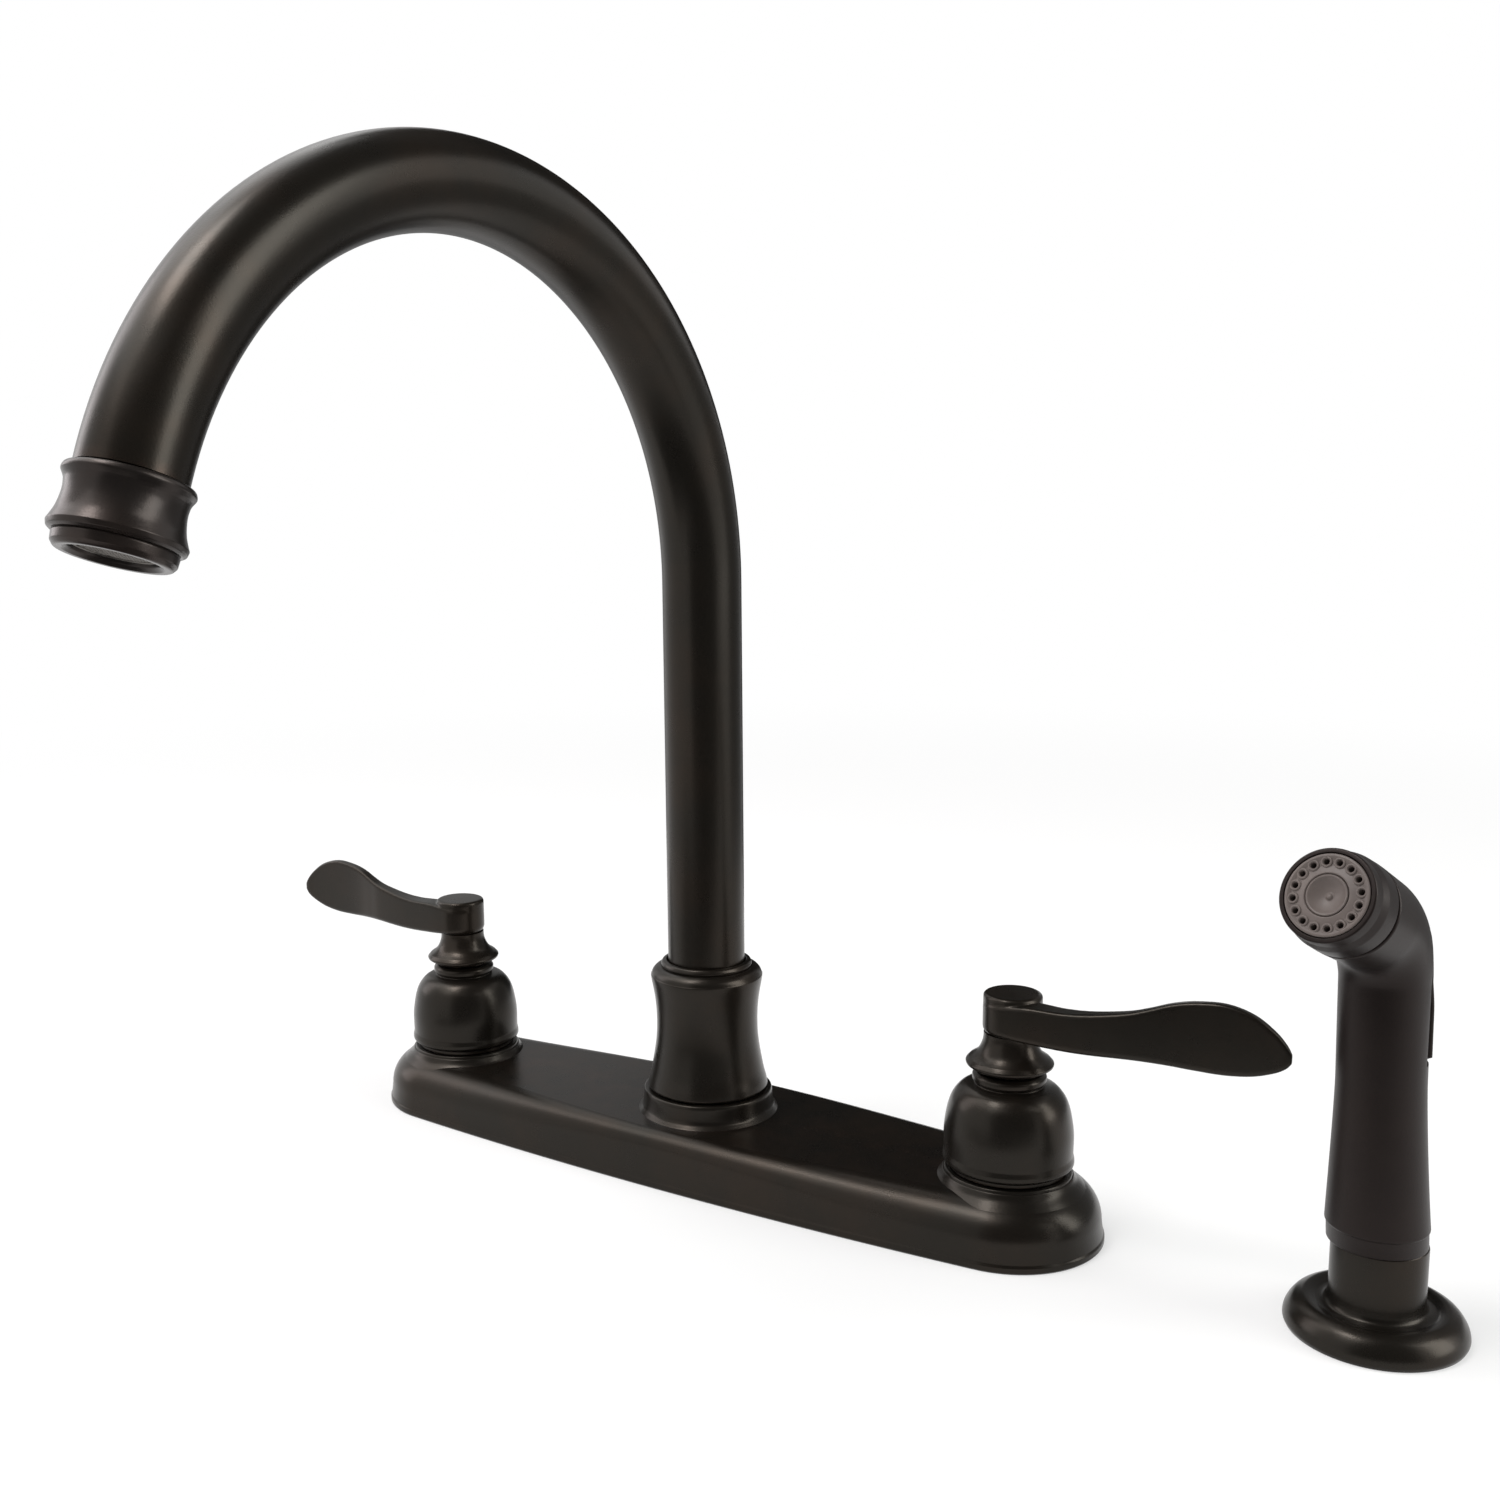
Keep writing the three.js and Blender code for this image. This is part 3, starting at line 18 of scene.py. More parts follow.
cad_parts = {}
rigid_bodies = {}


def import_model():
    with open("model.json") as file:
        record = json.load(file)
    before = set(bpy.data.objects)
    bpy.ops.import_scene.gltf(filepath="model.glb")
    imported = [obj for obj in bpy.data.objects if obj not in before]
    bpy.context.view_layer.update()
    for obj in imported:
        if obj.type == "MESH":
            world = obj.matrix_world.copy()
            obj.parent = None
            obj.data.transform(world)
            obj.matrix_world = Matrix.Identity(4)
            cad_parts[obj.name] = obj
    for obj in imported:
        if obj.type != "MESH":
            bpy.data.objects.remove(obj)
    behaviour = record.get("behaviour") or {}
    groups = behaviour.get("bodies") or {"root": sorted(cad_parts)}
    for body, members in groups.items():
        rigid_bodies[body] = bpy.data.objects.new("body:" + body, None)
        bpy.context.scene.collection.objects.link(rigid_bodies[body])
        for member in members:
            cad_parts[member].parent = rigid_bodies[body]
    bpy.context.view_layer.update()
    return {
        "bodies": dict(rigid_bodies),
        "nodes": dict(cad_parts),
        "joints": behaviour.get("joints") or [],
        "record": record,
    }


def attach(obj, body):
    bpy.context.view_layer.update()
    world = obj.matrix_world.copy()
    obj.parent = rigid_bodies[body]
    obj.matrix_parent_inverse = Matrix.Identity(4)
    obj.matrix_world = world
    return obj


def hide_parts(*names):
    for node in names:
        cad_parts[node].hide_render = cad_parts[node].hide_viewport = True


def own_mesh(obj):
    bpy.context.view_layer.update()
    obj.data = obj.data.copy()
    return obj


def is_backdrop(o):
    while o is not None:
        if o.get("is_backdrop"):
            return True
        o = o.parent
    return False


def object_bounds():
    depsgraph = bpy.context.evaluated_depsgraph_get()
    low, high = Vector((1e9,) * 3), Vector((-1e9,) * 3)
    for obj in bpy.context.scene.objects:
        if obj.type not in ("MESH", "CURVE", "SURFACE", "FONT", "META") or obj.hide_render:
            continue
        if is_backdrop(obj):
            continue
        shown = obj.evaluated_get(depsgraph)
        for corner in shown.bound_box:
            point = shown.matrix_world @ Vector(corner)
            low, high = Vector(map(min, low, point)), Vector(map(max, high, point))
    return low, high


LOG = logging.getLogger("faucet")
MM = 0.001
ROUND_FACETS = 128

Profile = list[tuple[float, float]]
Ring = list[Vector]


class Slot(Enum):
    """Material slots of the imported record."""

    BRONZE = "bronze"
    BRONZE_TIP = "bronze_tip"
    SPRAY_PLASTIC = "spray_plastic"
    FACE_PLASTIC = "face_plastic"
    BRASS = "brass"
    STEEL = "steel"
    RUBBER = "rubber"
    NYLON = "nylon"
    CERAMIC = "ceramic"
    BLACK_PLASTIC = "black_plastic"


# ---------------------------------------------------------------------------------------------------
# Node trees
# ---------------------------------------------------------------------------------------------------


class Value:
    """A node's output socket, on which arithmetic adds Math nodes to its tree."""

    def __init__(self, graph: "Graph", socket: bpy.types.NodeSocket) -> None:
        """Wraps a socket of the graph's tree."""
        self.graph = graph
        self.socket = socket

    def __add__(self, other: "Value | float") -> "Value":
        """self + other."""
        return self.graph.math("ADD", self, other)

    __radd__ = __add__

    def __sub__(self, other: "Value | float") -> "Value":
        """self - other."""
        return self.graph.math("SUBTRACT", self, other)

    def __rsub__(self, other: float) -> "Value":
        """other - self."""
        return self.graph.math("SUBTRACT", other, self)

    def __mul__(self, other: "Value | float") -> "Value":
        """self * other."""
        return self.graph.math("MULTIPLY", self, other)

    __rmul__ = __mul__

    def step(self, low: float, high: float) -> "Value":
        """A smooth rise from 0 at low to 1 at high.

        Args:
            low: Value at which the rise starts.
            high: Value at which it ends.

        Returns:
            The risen value, clamped to 0..1.
        """
        node = self.graph.node(
            "ShaderNodeMapRange",
            {"interpolation_type": "SMOOTHSTEP"},
            {"Value": self, "From Min": low, "From Max": high, "To Min": 0.0, "To Max": 1.0},
        )
        return Value(self.graph, node.outputs["Result"])


class Graph:
    """Adds nodes to a shader or geometry tree."""

    def __init__(self, tree: bpy.types.NodeTree) -> None:
        """Starts with the given tree."""
        self.tree = tree

    def node(
        self,
        kind: str,
        settings: dict[str, object] | None = None,
        inputs: dict[str | int, object] | None = None,
    ) -> bpy.types.Node:
        """Makes one node.

        Args:
            kind: The node's type.
            settings: Its properties, set first. "stops" are a ramp's (position, colour) pairs.
            inputs: Values or links of its sockets, by name or number.

        Returns:
            The new node.
        """
        made = self.tree.nodes.new(kind)
        for name, setting in (settings or {}).items():
            if name == "stops":
                self._set_stops(made.color_ramp, setting)
            else:
                setattr(made, name, setting)
        for name, given in (inputs or {}).items():
            if isinstance(given, Value):
                self.tree.links.new(given.socket, made.inputs[name])
            elif isinstance(given, bpy.types.NodeSocket):
                self.tree.links.new(given, made.inputs[name])
            else:
                made.inputs[name].default_value = given
        return made

    @staticmethod
    def _set_stops(ramp: bpy.types.ColorRamp, stops: Sequence[tuple[float, tuple]]) -> None:
        """Gives a colour ramp its stops."""
        while len(ramp.elements) < len(stops):
            ramp.elements.new(0.5)
        for element, (position, colour) in zip(ramp.elements, stops):
            element.position = position
            element.color = colour

    def value(self, kind: str, settings: dict | None, inputs: dict | None, out: str | int = 0) -> Value:
        """Makes one node and wraps one of its outputs."""
        return Value(self, self.node(kind, settings, inputs).outputs[out])

    def math(self, operation: str, *terms: Value | float) -> Value:
        """Adds a Math node over values and numbers."""
        return self.value("ShaderNodeMath", {"operation": operation}, dict(enumerate(terms)))

    def noise(self, place: Value, scale: float, detail: float = 3.0, rough: float = 0.55) -> Value:
        """A noise texture's factor at a place."""
        sockets = {"Vector": place, "Scale": scale, "Detail": detail, "Roughness": rough}
        return self.value("ShaderNodeTexNoise", None, sockets, "Fac")

    def mix(self, factor: Value | float, first: object, second: object) -> Value:
        """A mix of two colours, each a link or a tuple of red, green and blue."""
        sockets = {0: factor, 6: _rgba(first), 7: _rgba(second)}
        return self.value("ShaderNodeMix", {"data_type": "RGBA"}, sockets, 2)


def _rgba(colour: object) -> object:
    """A colour with its alpha, or a link as it is."""
    return (*colour, 1.0) if isinstance(colour, tuple) and len(colour) == 3 else colour


# ---------------------------------------------------------------------------------------------------
# Finishes
# ---------------------------------------------------------------------------------------------------


class Finish:
    """A procedural material that is made once and shared by its pieces."""

    name: str
    slot: Slot

    def material(self) -> bpy.types.Material:
        """The finish's material, made at its first use."""
        found = bpy.data.materials.get(self.name)
        if found:
            return found
        made = bpy.data.materials.new(self.name)
        made.use_nodes = True
        made.node_tree.nodes.clear()
        graph = Graph(made.node_tree)
        place = graph.value("ShaderNodeTexCoord", None, None, "Object")
        shader = self.surface(graph, place)
        graph.node("ShaderNodeOutputMaterial", None, {"Surface": shader.outputs[0]})
        return made

    def surface(self, graph: Graph, place: Value) -> bpy.types.Node:
        """The finish's shader, from Object coordinates in metres."""
        raise NotImplementedError


@dataclass(frozen=True)
class RubbedBronze(Finish):
    """Dark chemical patina with a satin lacquer, rubbed reddish along raised edges."""

    name: str
    slot: Slot
    patina: tuple[float, float, float] = (0.020, 0.017, 0.0135)
    warm: tuple[float, float, float] = (0.026, 0.0195, 0.0145)
    rubbed: tuple[float, float, float] = (0.070, 0.040, 0.028)
    metallic: float = 0.72
    roughness: float = 0.29
    rub: float = 0.35
    coat: float = 0.06

    def surface(self, graph: Graph, place: Value) -> bpy.types.Node:
        """The bronze shader, see Finish.surface."""
        clouds = graph.noise(place, 38.0, 4.0)
        patches = graph.noise(place, 120.0, 3.0)
        grain = graph.noise(place, 1900.0, 2.0)
        edge = graph.value("ShaderNodeNewGeometry", None, None, "Pointiness").step(0.515, 0.60)
        worn = edge * patches.step(0.35, 0.75) * self.rub
        warmed = graph.mix(clouds.step(0.38, 0.72), self.patina, self.warm)
        colour = graph.mix(worn, warmed, self.rubbed)
        roughness = self.roughness + (patches - 0.5) * 0.08 + (grain - 0.5) * 0.05 - worn * 0.08
        bump = graph.node(
            "ShaderNodeBump", None, {"Strength": 0.10, "Distance": 0.0002, "Height": grain + clouds * 0.6}
        )
        return graph.node(
            "ShaderNodeBsdfPrincipled",
            None,
            {
                "Base Color": colour,
                "Metallic": self.metallic,
                "Roughness": roughness,
                "Specular IOR Level": 0.3,
                "Coat Weight": self.coat,
                "Coat Roughness": 0.25,
                "Normal": bump.outputs[0],
            },
        )


@dataclass(frozen=True)
class MouldedPlastic(Finish):
    """A moulded plastic with a fine spark texture and a few lighter flow clouds."""

    name: str
    slot: Slot
    colour: tuple[float, float, float]
    cloud: tuple[float, float, float]
    roughness: float = 0.42
    grain: float = 0.12
    coat: float = 0.0
    gloss: float = 0.5
    tint: tuple[float, float, float] = (1.0, 1.0, 1.0)

    def surface(self, graph: Graph, place: Value) -> bpy.types.Node:
        """The plastic shader, see Finish.surface."""
        clouds = graph.noise(place, 60.0, 3.0)
        spark = graph.noise(place, 2400.0, 2.0)
        colour = graph.mix(clouds.step(0.3, 0.8), self.colour, self.cloud)
        roughness = self.roughness + (clouds - 0.5) * 0.12 + (spark - 0.5) * 0.08
        bump = graph.node(
            "ShaderNodeBump", None, {"Strength": self.grain, "Distance": 0.0002, "Height": spark}
        )
        return graph.node(
            "ShaderNodeBsdfPrincipled",
            None,
            {
                "Base Color": colour,
                "Roughness": roughness,
                "Specular IOR Level": self.gloss,
                "Specular Tint": (*self.tint, 1.0),
                "Coat Weight": self.coat,
                "Coat Roughness": 0.3,
                "Normal": bump.outputs[0],
            },
        )


@dataclass(frozen=True)
class TurnedMetal(Finish):
    """Bare metal with the fine rings of a lathe and a slight tarnish."""

    name: str
    slot: Slot
    colour: tuple[float, float, float]
    tarnish: tuple[float, float, float]
    roughness: float = 0.28
    rings: float = 2600.0

    def surface(self, graph: Graph, place: Value) -> bpy.types.Node:
        """The metal shader, see Finish.surface."""
        stains = graph.noise(place, 90.0, 4.0)
        wave = graph.value(
            "ShaderNodeTexWave",
            {"wave_type": "BANDS", "bands_direction": "Z"},
            {"Vector": place, "Scale": self.rings, "Distortion": 0.6, "Detail": 1.0},
            "Fac",
        )
        colour = graph.mix(stains.step(0.45, 0.8), self.colour, self.tarnish)
        bump = graph.node(
            "ShaderNodeBump", None, {"Strength": 0.08, "Distance": 0.0001, "Height": wave}
        )
        return graph.node(
            "ShaderNodeBsdfPrincipled",
            None,
            {
                "Base Color": colour,
                "Metallic": 1.0,
                "Roughness": self.roughness + stains.step(0.4, 0.9) * 0.2,
                "Normal": bump.outputs[0],
            },
        )


BRONZE = RubbedBronze("rubbed_bronze", Slot.BRONZE)
BRONZE_TIP = RubbedBronze(
    "rubbed_bronze_tip",
    Slot.BRONZE_TIP,
    patina=(0.028, 0.0235, 0.0215),
    warm=(0.038, 0.028, 0.024),
    rub=0.7,
)
SPRAY_PLASTIC = MouldedPlastic(
    "sprayer_plastic",
    Slot.SPRAY_PLASTIC,
    colour=(0.0072, 0.0048, 0.0044),
    cloud=(0.0104, 0.0071, 0.0062),
    roughness=0.40,
    grain=0.1,
    gloss=0.22,
    tint=(1.0, 0.87, 0.83),
)
FACE_PLASTIC = MouldedPlastic(
    "spray_face_plastic",
    Slot.FACE_PLASTIC,
    colour=(0.115, 0.094, 0.086),
    cloud=(0.155, 0.128, 0.116),
    roughness=0.46,
    grain=0.1,
    gloss=0.35,
)
BLACK_PLASTIC = MouldedPlastic(
    "black_plastic", Slot.BLACK_PLASTIC, (0.012, 0.012, 0.013), (0.02, 0.02, 0.021), 0.5
)
NYLON = MouldedPlastic("nylon", Slot.NYLON, (0.69, 0.67, 0.6), (0.78, 0.76, 0.7), 0.5)
CERAMIC = MouldedPlastic("ceramic", Slot.CERAMIC, (0.8, 0.78, 0.74), (0.86, 0.84, 0.81), 0.15, 0.02)
RUBBER = MouldedPlastic("rubber", Slot.RUBBER, (0.008, 0.008, 0.008), (0.016, 0.015, 0.015), 0.75, 0.3)
BRASS = TurnedMetal("turned_brass", Slot.BRASS, (0.62, 0.42, 0.16), (0.40, 0.24, 0.09))
STEEL = TurnedMetal("turned_steel", Slot.STEEL, (0.56, 0.57, 0.58), (0.42, 0.42, 0.41), 0.25)
DARK_STEEL = TurnedMetal("blackened_steel", Slot.STEEL, (0.07, 0.065, 0.063), (0.05, 0.045, 0.042), 0.4)
SCREEN_STEEL = TurnedMetal("screen_steel", Slot.STEEL, (0.20, 0.185, 0.17), (0.14, 0.125, 0.11), 0.42)

BY_SLOT: dict[str, Finish] = {
    finish.slot.value: finish
    for finish in (
        BRONZE,
        BRONZE_TIP,
        SPRAY_PLASTIC,
        FACE_PLASTIC,
        BLACK_PLASTIC,
        NYLON,
        CERAMIC,
        RUBBER,
        BRASS,
        STEEL,
    )
}


# ---------------------------------------------------------------------------------------------------
# Shapes
# ---------------------------------------------------------------------------------------------------


def rounded(corners: Sequence[tuple[float, float, float]], steps: int = 5, loop: bool = False) -> Profile:
    """A profile with its corners rounded.

    Args:
        corners: Radius, height and rounding of each corner.
        steps: Segments of each rounding.
        loop: Whether the last corner joins the first.

    Returns:
        The profile's points.
    """
    points: Profile = []
    count = len(corners)
    for i, (r, z, radius) in enumerate(corners):
        inside = loop or 0 < i < count - 1
        here = Vector((r, z))
        before = Vector(corners[i - 1][:2]) - here
        after = Vector(corners[(i + 1) % count][:2]) - here
        if radius <= 0 or not inside or before.length < 1e-6 or after.length < 1e-6:
            points.append((r, z))
            continue
        angle = before.angle(after)
        if angle > math.pi - 0.02:
            points.append((r, z))
            continue
        reach = min(radius / math.tan(angle / 2), 0.49 * before.length, 0.49 * after.length)
        used = reach * math.tan(angle / 2)
        middle = (before.normalized() + after.normalized()).normalized() * (used / math.sin(angle / 2))
        centre = here + middle
        start = here + before.normalized() * reach - centre
        end = here + after.normalized() * reach - centre
        first = math.atan2(start.y, start.x)
        turn = (math.atan2(end.y, end.x) - first + math.pi) % (2 * math.pi) - math.pi
        for k in range(steps + 1):
            a = first + turn * k / steps
            points.append((centre.x + used * math.cos(a), centre.y + used * math.sin(a)))
    return points


def flowing(points: Sequence[Sequence[float]], steps: int = 6) -> list[tuple[float, ...]]:
    """A smooth curve through points of any dimension.

    Args:
        points: The points it passes.
        steps: Segments between two of them.

    Returns:
        The curve's points.
    """
    ends = [points[0], *points, points[-1]]
    made: list[tuple[float, ...]] = []
    for i in range(1, len(ends) - 2):
        p0, p1, p2, p3 = ends[i - 1 : i + 3]
        for k in range(steps):
            t = k / steps
            made.append(
                tuple(
                    0.5
                    * (
                        2 * b
                        + (c - a) * t
                        + (2 * a - 5 * b + 4 * c - d) * t * t
                        + (3 * b - a - 3 * c + d) * t**3
                    )
                    for a, b, c, d in zip(p0, p1, p2, p3)
                )
            )
    made.append(tuple(points[-1]))
    return made


class Blank:
    """The points and faces of one piece, in millimetres."""

    def __init__(self) -> None:
        """Starts empty."""
        self.points: list[Vector] = []
        self.faces: list[tuple[int, ...]] = []

    def loft(self, rings: Sequence[Ring], caps: bool = True) -> "Blank":
        """Adds a skin over rings with equal counts.

        Args:
            rings: The rings, in order.
            caps: Whether each end is closed by a fan, which suits a ring that isn't bent.

        Returns:
            The blank itself.
        """
        start = len(self.points)
        count = len(rings[0])
        for ring in rings:
            self.points.extend(ring)
        for row in range(len(rings) - 1):
            for i in range(count):
                a = start + row * count + i
                b = start + row * count + (i + 1) % count
                self.faces.append((a, b, b + count, a + count))
        if caps:
            for ring_start, ring in ((start, rings[0]), (start + (len(rings) - 1) * count, rings[-1])):
                self.points.append(sum(ring, Vector()) / count)
                hub = len(self.points) - 1
                for i in range(count):
                    self.faces.append((ring_start + i, ring_start + (i + 1) % count, hub))
        return self

    def turn(self, profile: Profile, facets: int = 96, loop: bool = False) -> "Blank":
        """Adds a surface turned about Z.

        Args:
            profile: Radius and height of its points.
            facets: Segments round the axis.
            loop: Whether the profile closes on itself instead of at the axis.

        Returns:
            The blank itself.
        """
        start = len(self.points)
        count = len(profile)
        for r, z in profile:
            for k in range(facets):
                a = 2 * math.pi * k / facets
                self.points.append(Vector((r * math.cos(a), r * math.sin(a), z)))
        for row in range(count if loop else count - 1):
            here = start + row * facets
            beyond = start + (row + 1) % count * facets
            for k in range(facets):
                after = (k + 1) % facets
                self.faces.append((here + k, here + after, beyond + after, beyond + k))
        return self

    def add(self, other: "Blank") -> "Blank":
        """Takes in another blank's points and faces."""
        start = len(self.points)
        self.points.extend(other.points)
        self.faces.extend(tuple(start + i for i in face) for face in other.faces)
        return self

    def place(self, matrix: Matrix) -> "Blank":
        """Moves all that was added so far."""
        self.points = [matrix @ p for p in self.points]
        return self

    def piece(self, name: str, sharp: float = 38.0) -> bpy.types.Object:
        """Makes the object.

        Args:
            name: The piece's name.
            sharp: Angle in degrees above which an edge isn't smoothed.

        Returns:
            The new object, at the origin, with its mesh in metres.
        """
        mesh = bpy.data.meshes.new(name)
        mesh.from_pydata([p * MM for p in self.points], [], self.faces)
        made = bpy.data.objects.new(name, mesh)
        bpy.context.scene.collection.objects.link(made)
        tidy_mesh(mesh, sharp)
        return made


def lathed(
    name: str,
    profile: Profile,
    frame: Matrix = Matrix.Identity(4),
    facets: int = ROUND_FACETS,
    sharp: float = 50.0,
) -> bpy.types.Object:
    """Turns a closed profile into a piece.

    Args:
        name: The piece's name.
        profile: Radius and height of its points.
        frame: Where it stands, in millimetres.
        facets: Segments round its axis.
        sharp: Angle in degrees above which an edge isn't smoothed.

    Returns:
        The piece.
    """
    return Blank().turn(profile, facets, loop=True).place(frame).piece(name, sharp)


def drilled(
    name: str, radius: float, low: float, high: float, frame: Matrix, facets: int
) -> bpy.types.Object:
    """A plain rod along Z that cuts a hole.

    Args:
        name: Its name.
        radius: Its radius.
        low: The height of its foot.
        high: The height of its top.
        frame: Where it stands, in millimetres.
        facets: Segments round its axis.

    Returns:
        The cutter.
    """
    rod = [(0, low), (radius, low), (radius, high), (0, high)]
    return Blank().turn(rod, facets).place(frame).piece(name)


def in_metres(frame: Matrix) -> Matrix:
    """A frame with its place in metres, for a finished mesh."""
    made = frame.copy()
    made.translation *= MM
    return made


def smoothed(made: bpy.types.Object, sharp: float = 50.0) -> bpy.types.Object:
    """Smooths all but an object's sharp edges, and leaves its faces as they are."""
    made.data.shade_smooth()
    made.data.set_sharp_from_angle(angle=math.radians(sharp))
    return made


def tidy_mesh(mesh: bpy.types.Mesh, sharp: float = 38.0, outward: bool = True) -> None:
    """Merges doubles, turns the faces outwards and smooths all but sharp edges.

    Args:
        mesh: The mesh, in metres.
        sharp: Angle in degrees above which an edge stays sharp.
        outward: Whether the normals are worked out anew.
    """
    work = bmesh.new()
    work.from_mesh(mesh)
    bmesh.ops.remove_doubles(work, verts=work.verts, dist=2e-6)
    bmesh.ops.dissolve_degenerate(work, edges=work.edges, dist=1e-7)
    if outward:
        bmesh.ops.recalc_face_normals(work, faces=work.faces)
    work.to_mesh(mesh)
    work.free()
    mesh.shade_smooth()
    mesh.set_sharp_from_angle(angle=math.radians(sharp))


def baked(made: bpy.types.Object) -> bpy.types.Object:
    """Turns an object's modifiers into its mesh.

    Args:
        made: The object.

    Returns:
        The same object, with a plain mesh and no modifier.
    """
    bpy.context.view_layer.update()
    depsgraph = bpy.context.evaluated_depsgraph_get()
    mesh = bpy.data.meshes.new_from_object(made.evaluated_get(depsgraph), depsgraph=depsgraph)
    made.modifiers.clear()
    old = made.data
    made.data = mesh
    mesh.name = made.name
    if isinstance(old, bpy.types.Mesh):
        bpy.data.meshes.remove(old)
    return made


def carved(
    made: bpy.types.Object, cutters: Iterable[bpy.types.Object], sharp: float = 38.0
) -> bpy.types.Object:
    """Cuts other objects out of one, and removes them.

    Args:
        made: The object that is cut.
        cutters: The objects that are taken out of it.
        sharp: Angle in degrees above which its edges stay sharp.

    Returns:
        The cut object.
    """
    cutters = list(cutters)
    for cutter in cutters:
        modifier = made.modifiers.new("cut", "BOOLEAN")
        modifier.operation = "DIFFERENCE"
        modifier.solver = "EXACT"
        modifier.object = cutter
    baked(made)
    for cutter in cutters:
        bpy.data.objects.remove(cutter)
    tidy_mesh(made.data, sharp)
    return made


def circle(radius: float, facets: int, height: float = 0.0, start: float = 0.0) -> Ring:
    """Points of a level circle about the axis."""
    turns = (start + 2 * math.pi * k / facets for k in range(facets))
    return [Vector((radius * math.cos(a), radius * math.sin(a), height)) for a in turns]


def blend(first: float, second: float, share: float) -> float:
    """A value between two others."""
    return first + (second - first) * share


def smoothstep(x: float, low: float, high: float) -> float:
    """A smooth rise from 0 at low to 1 at high."""
    t = min(max((x - low) / (high - low), 0.0), 1.0)
    return t * t * (3 - 2 * t)


# ---------------------------------------------------------------------------------------------------
# Geometry node trees
# ---------------------------------------------------------------------------------------------------


class Kit(Enum):
    """Geometry trees that several pieces are made with."""

    SWEEP = "sweep_along_path"
    THREAD = "screw_thread"
    ROUND = "copies_round_circle"
    SCREEN = "woven_screen"


class GeometryKit:
    """Makes each geometry tree once, and runs it for a piece."""

    FLOAT = "NodeSocketFloat"
    INT = "NodeSocketInt"

    def __init__(self) -> None:
        """Starts with no tree."""
        self.trees: dict[Kit, bpy.types.NodeTree] = {}

    def run(
        self,
        kit: Kit,
        name: str,
        sizes: dict[str, object],
        finish: Finish,
        source: bpy.types.Object | None = None,
    ) -> bpy.types.Object:
        """Makes a piece with one of the trees.

        Args:
            kit: The tree.
            name: The piece's name.
            sizes: Values of the tree's inputs, by their names.
            finish: The finish that Set Material gives it.
            source: The object whose geometry the tree reads, or None for an empty one.

        Returns:
            The piece, with a plain mesh.
        """
        if kit not in self.trees:
            self.trees[kit] = self._make(kit)
        tree = self.trees[kit]
        made = source
        if made is None:
            made = bpy.data.objects.new(name, bpy.data.meshes.new(name))
            bpy.context.scene.collection.objects.link(made)
        modifier = made.modifiers.new(kit.value, "NODES")
        modifier.node_group = tree
        given = {**sizes, "Material": finish.material()}
        for item in tree.interface.items_tree:
            if item.in_out == "INPUT" and item.name in given:
                modifier[item.identifier] = given[item.name]
        baked(made)
        tidy_mesh(made.data)
        return made

    def _make(self, kit: Kit) -> bpy.types.NodeTree:
        """Builds one tree."""
        tree = bpy.data.node_groups.new(kit.value, "GeometryNodeTree")
        tree.interface.new_socket("Geometry", in_out="INPUT", socket_type="NodeSocketGeometry")
        tree.interface.new_socket("Geometry", in_out="OUTPUT", socket_type="NodeSocketGeometry")
        makers: dict[Kit, tuple[dict[str, tuple[str, float]], Callable]] = {
            Kit.SWEEP: (
                {"Radius": (self.FLOAT, 0.01), "Facets": (self.INT, 64), "Caps": (self.INT, 0)}, self._sweep
            ),
            Kit.THREAD: (
                {
                    "Radius": (self.FLOAT, 0.01),
                    "Length": (self.FLOAT, 0.03),
                    "Foot": (self.FLOAT, 0.0),
                    "Turns": (self.FLOAT, 10.0),
                    "Ridge": (self.FLOAT, 0.0005),
                },
                self._thread,
            ),
            Kit.ROUND: (
                {"Ring": (self.FLOAT, 0.008), "Count": (self.INT, 16), "Phase": (self.FLOAT, 0.0)},
                self._round,
            ),
            Kit.SCREEN: (
                {"Reach": (self.FLOAT, 0.008), "Lines": (self.INT, 12), "Wire": (self.FLOAT, 0.0002)},
                self._screen,
            ),
        }
        inputs, body = makers[kit]
        for name, (socket_type, start) in inputs.items():
            socket = tree.interface.new_socket(name, in_out="INPUT", socket_type=socket_type)
            socket.default_value = int(start) if socket_type == self.INT else start
        tree.interface.new_socket("Material", in_out="INPUT", socket_type="NodeSocketMaterial")
        graph = Graph(tree)
        entry = graph.node("NodeGroupInput")
        made = body(graph, entry)
        realized = graph.node("GeometryNodeRealizeInstances", None, {0: made})
        dressed = graph.node(
            "GeometryNodeSetMaterial",
            None,
            {"Geometry": realized.outputs[0], "Material": entry.outputs["Material"]},
        )
        graph.node("NodeGroupOutput", None, {0: dressed.outputs[0]})
        return tree

    @staticmethod
    def _tube(
        graph: Graph, curve: bpy.types.Node, facets: object, radius: object, caps: object
    ) -> bpy.types.NodeSocket:
        """A round section swept along a curve.

        Args:
            graph: The tree's graph.
            curve: The node that gives the curve.
            facets: Segments round the section, or a link that gives them.
            radius: The section's radius, or a link that gives it.
            caps: Whether the ends are closed, or a link that says so.

        Returns:
            The socket of the tube's mesh.
        """
        round_line = {"Resolution": facets, "Radius": radius}
        section = graph.node("GeometryNodeCurvePrimitiveCircle", None, round_line)
        sockets = {"Curve": curve.outputs[0], "Profile Curve": section.outputs[0], "Fill Caps": caps}
        return graph.node("GeometryNodeCurveToMesh", None, sockets).outputs[0]

    @staticmethod
    def _sweep(graph: Graph, entry: bpy.types.Node) -> bpy.types.NodeSocket:
        """A tube along the source's edges, open unless Caps is 1."""
        path = graph.node("GeometryNodeMeshToCurve", None, {"Mesh": entry.outputs["Geometry"]})
        given = entry.outputs
        return GeometryKit._tube(graph, path, given["Facets"], given["Radius"], given["Caps"])

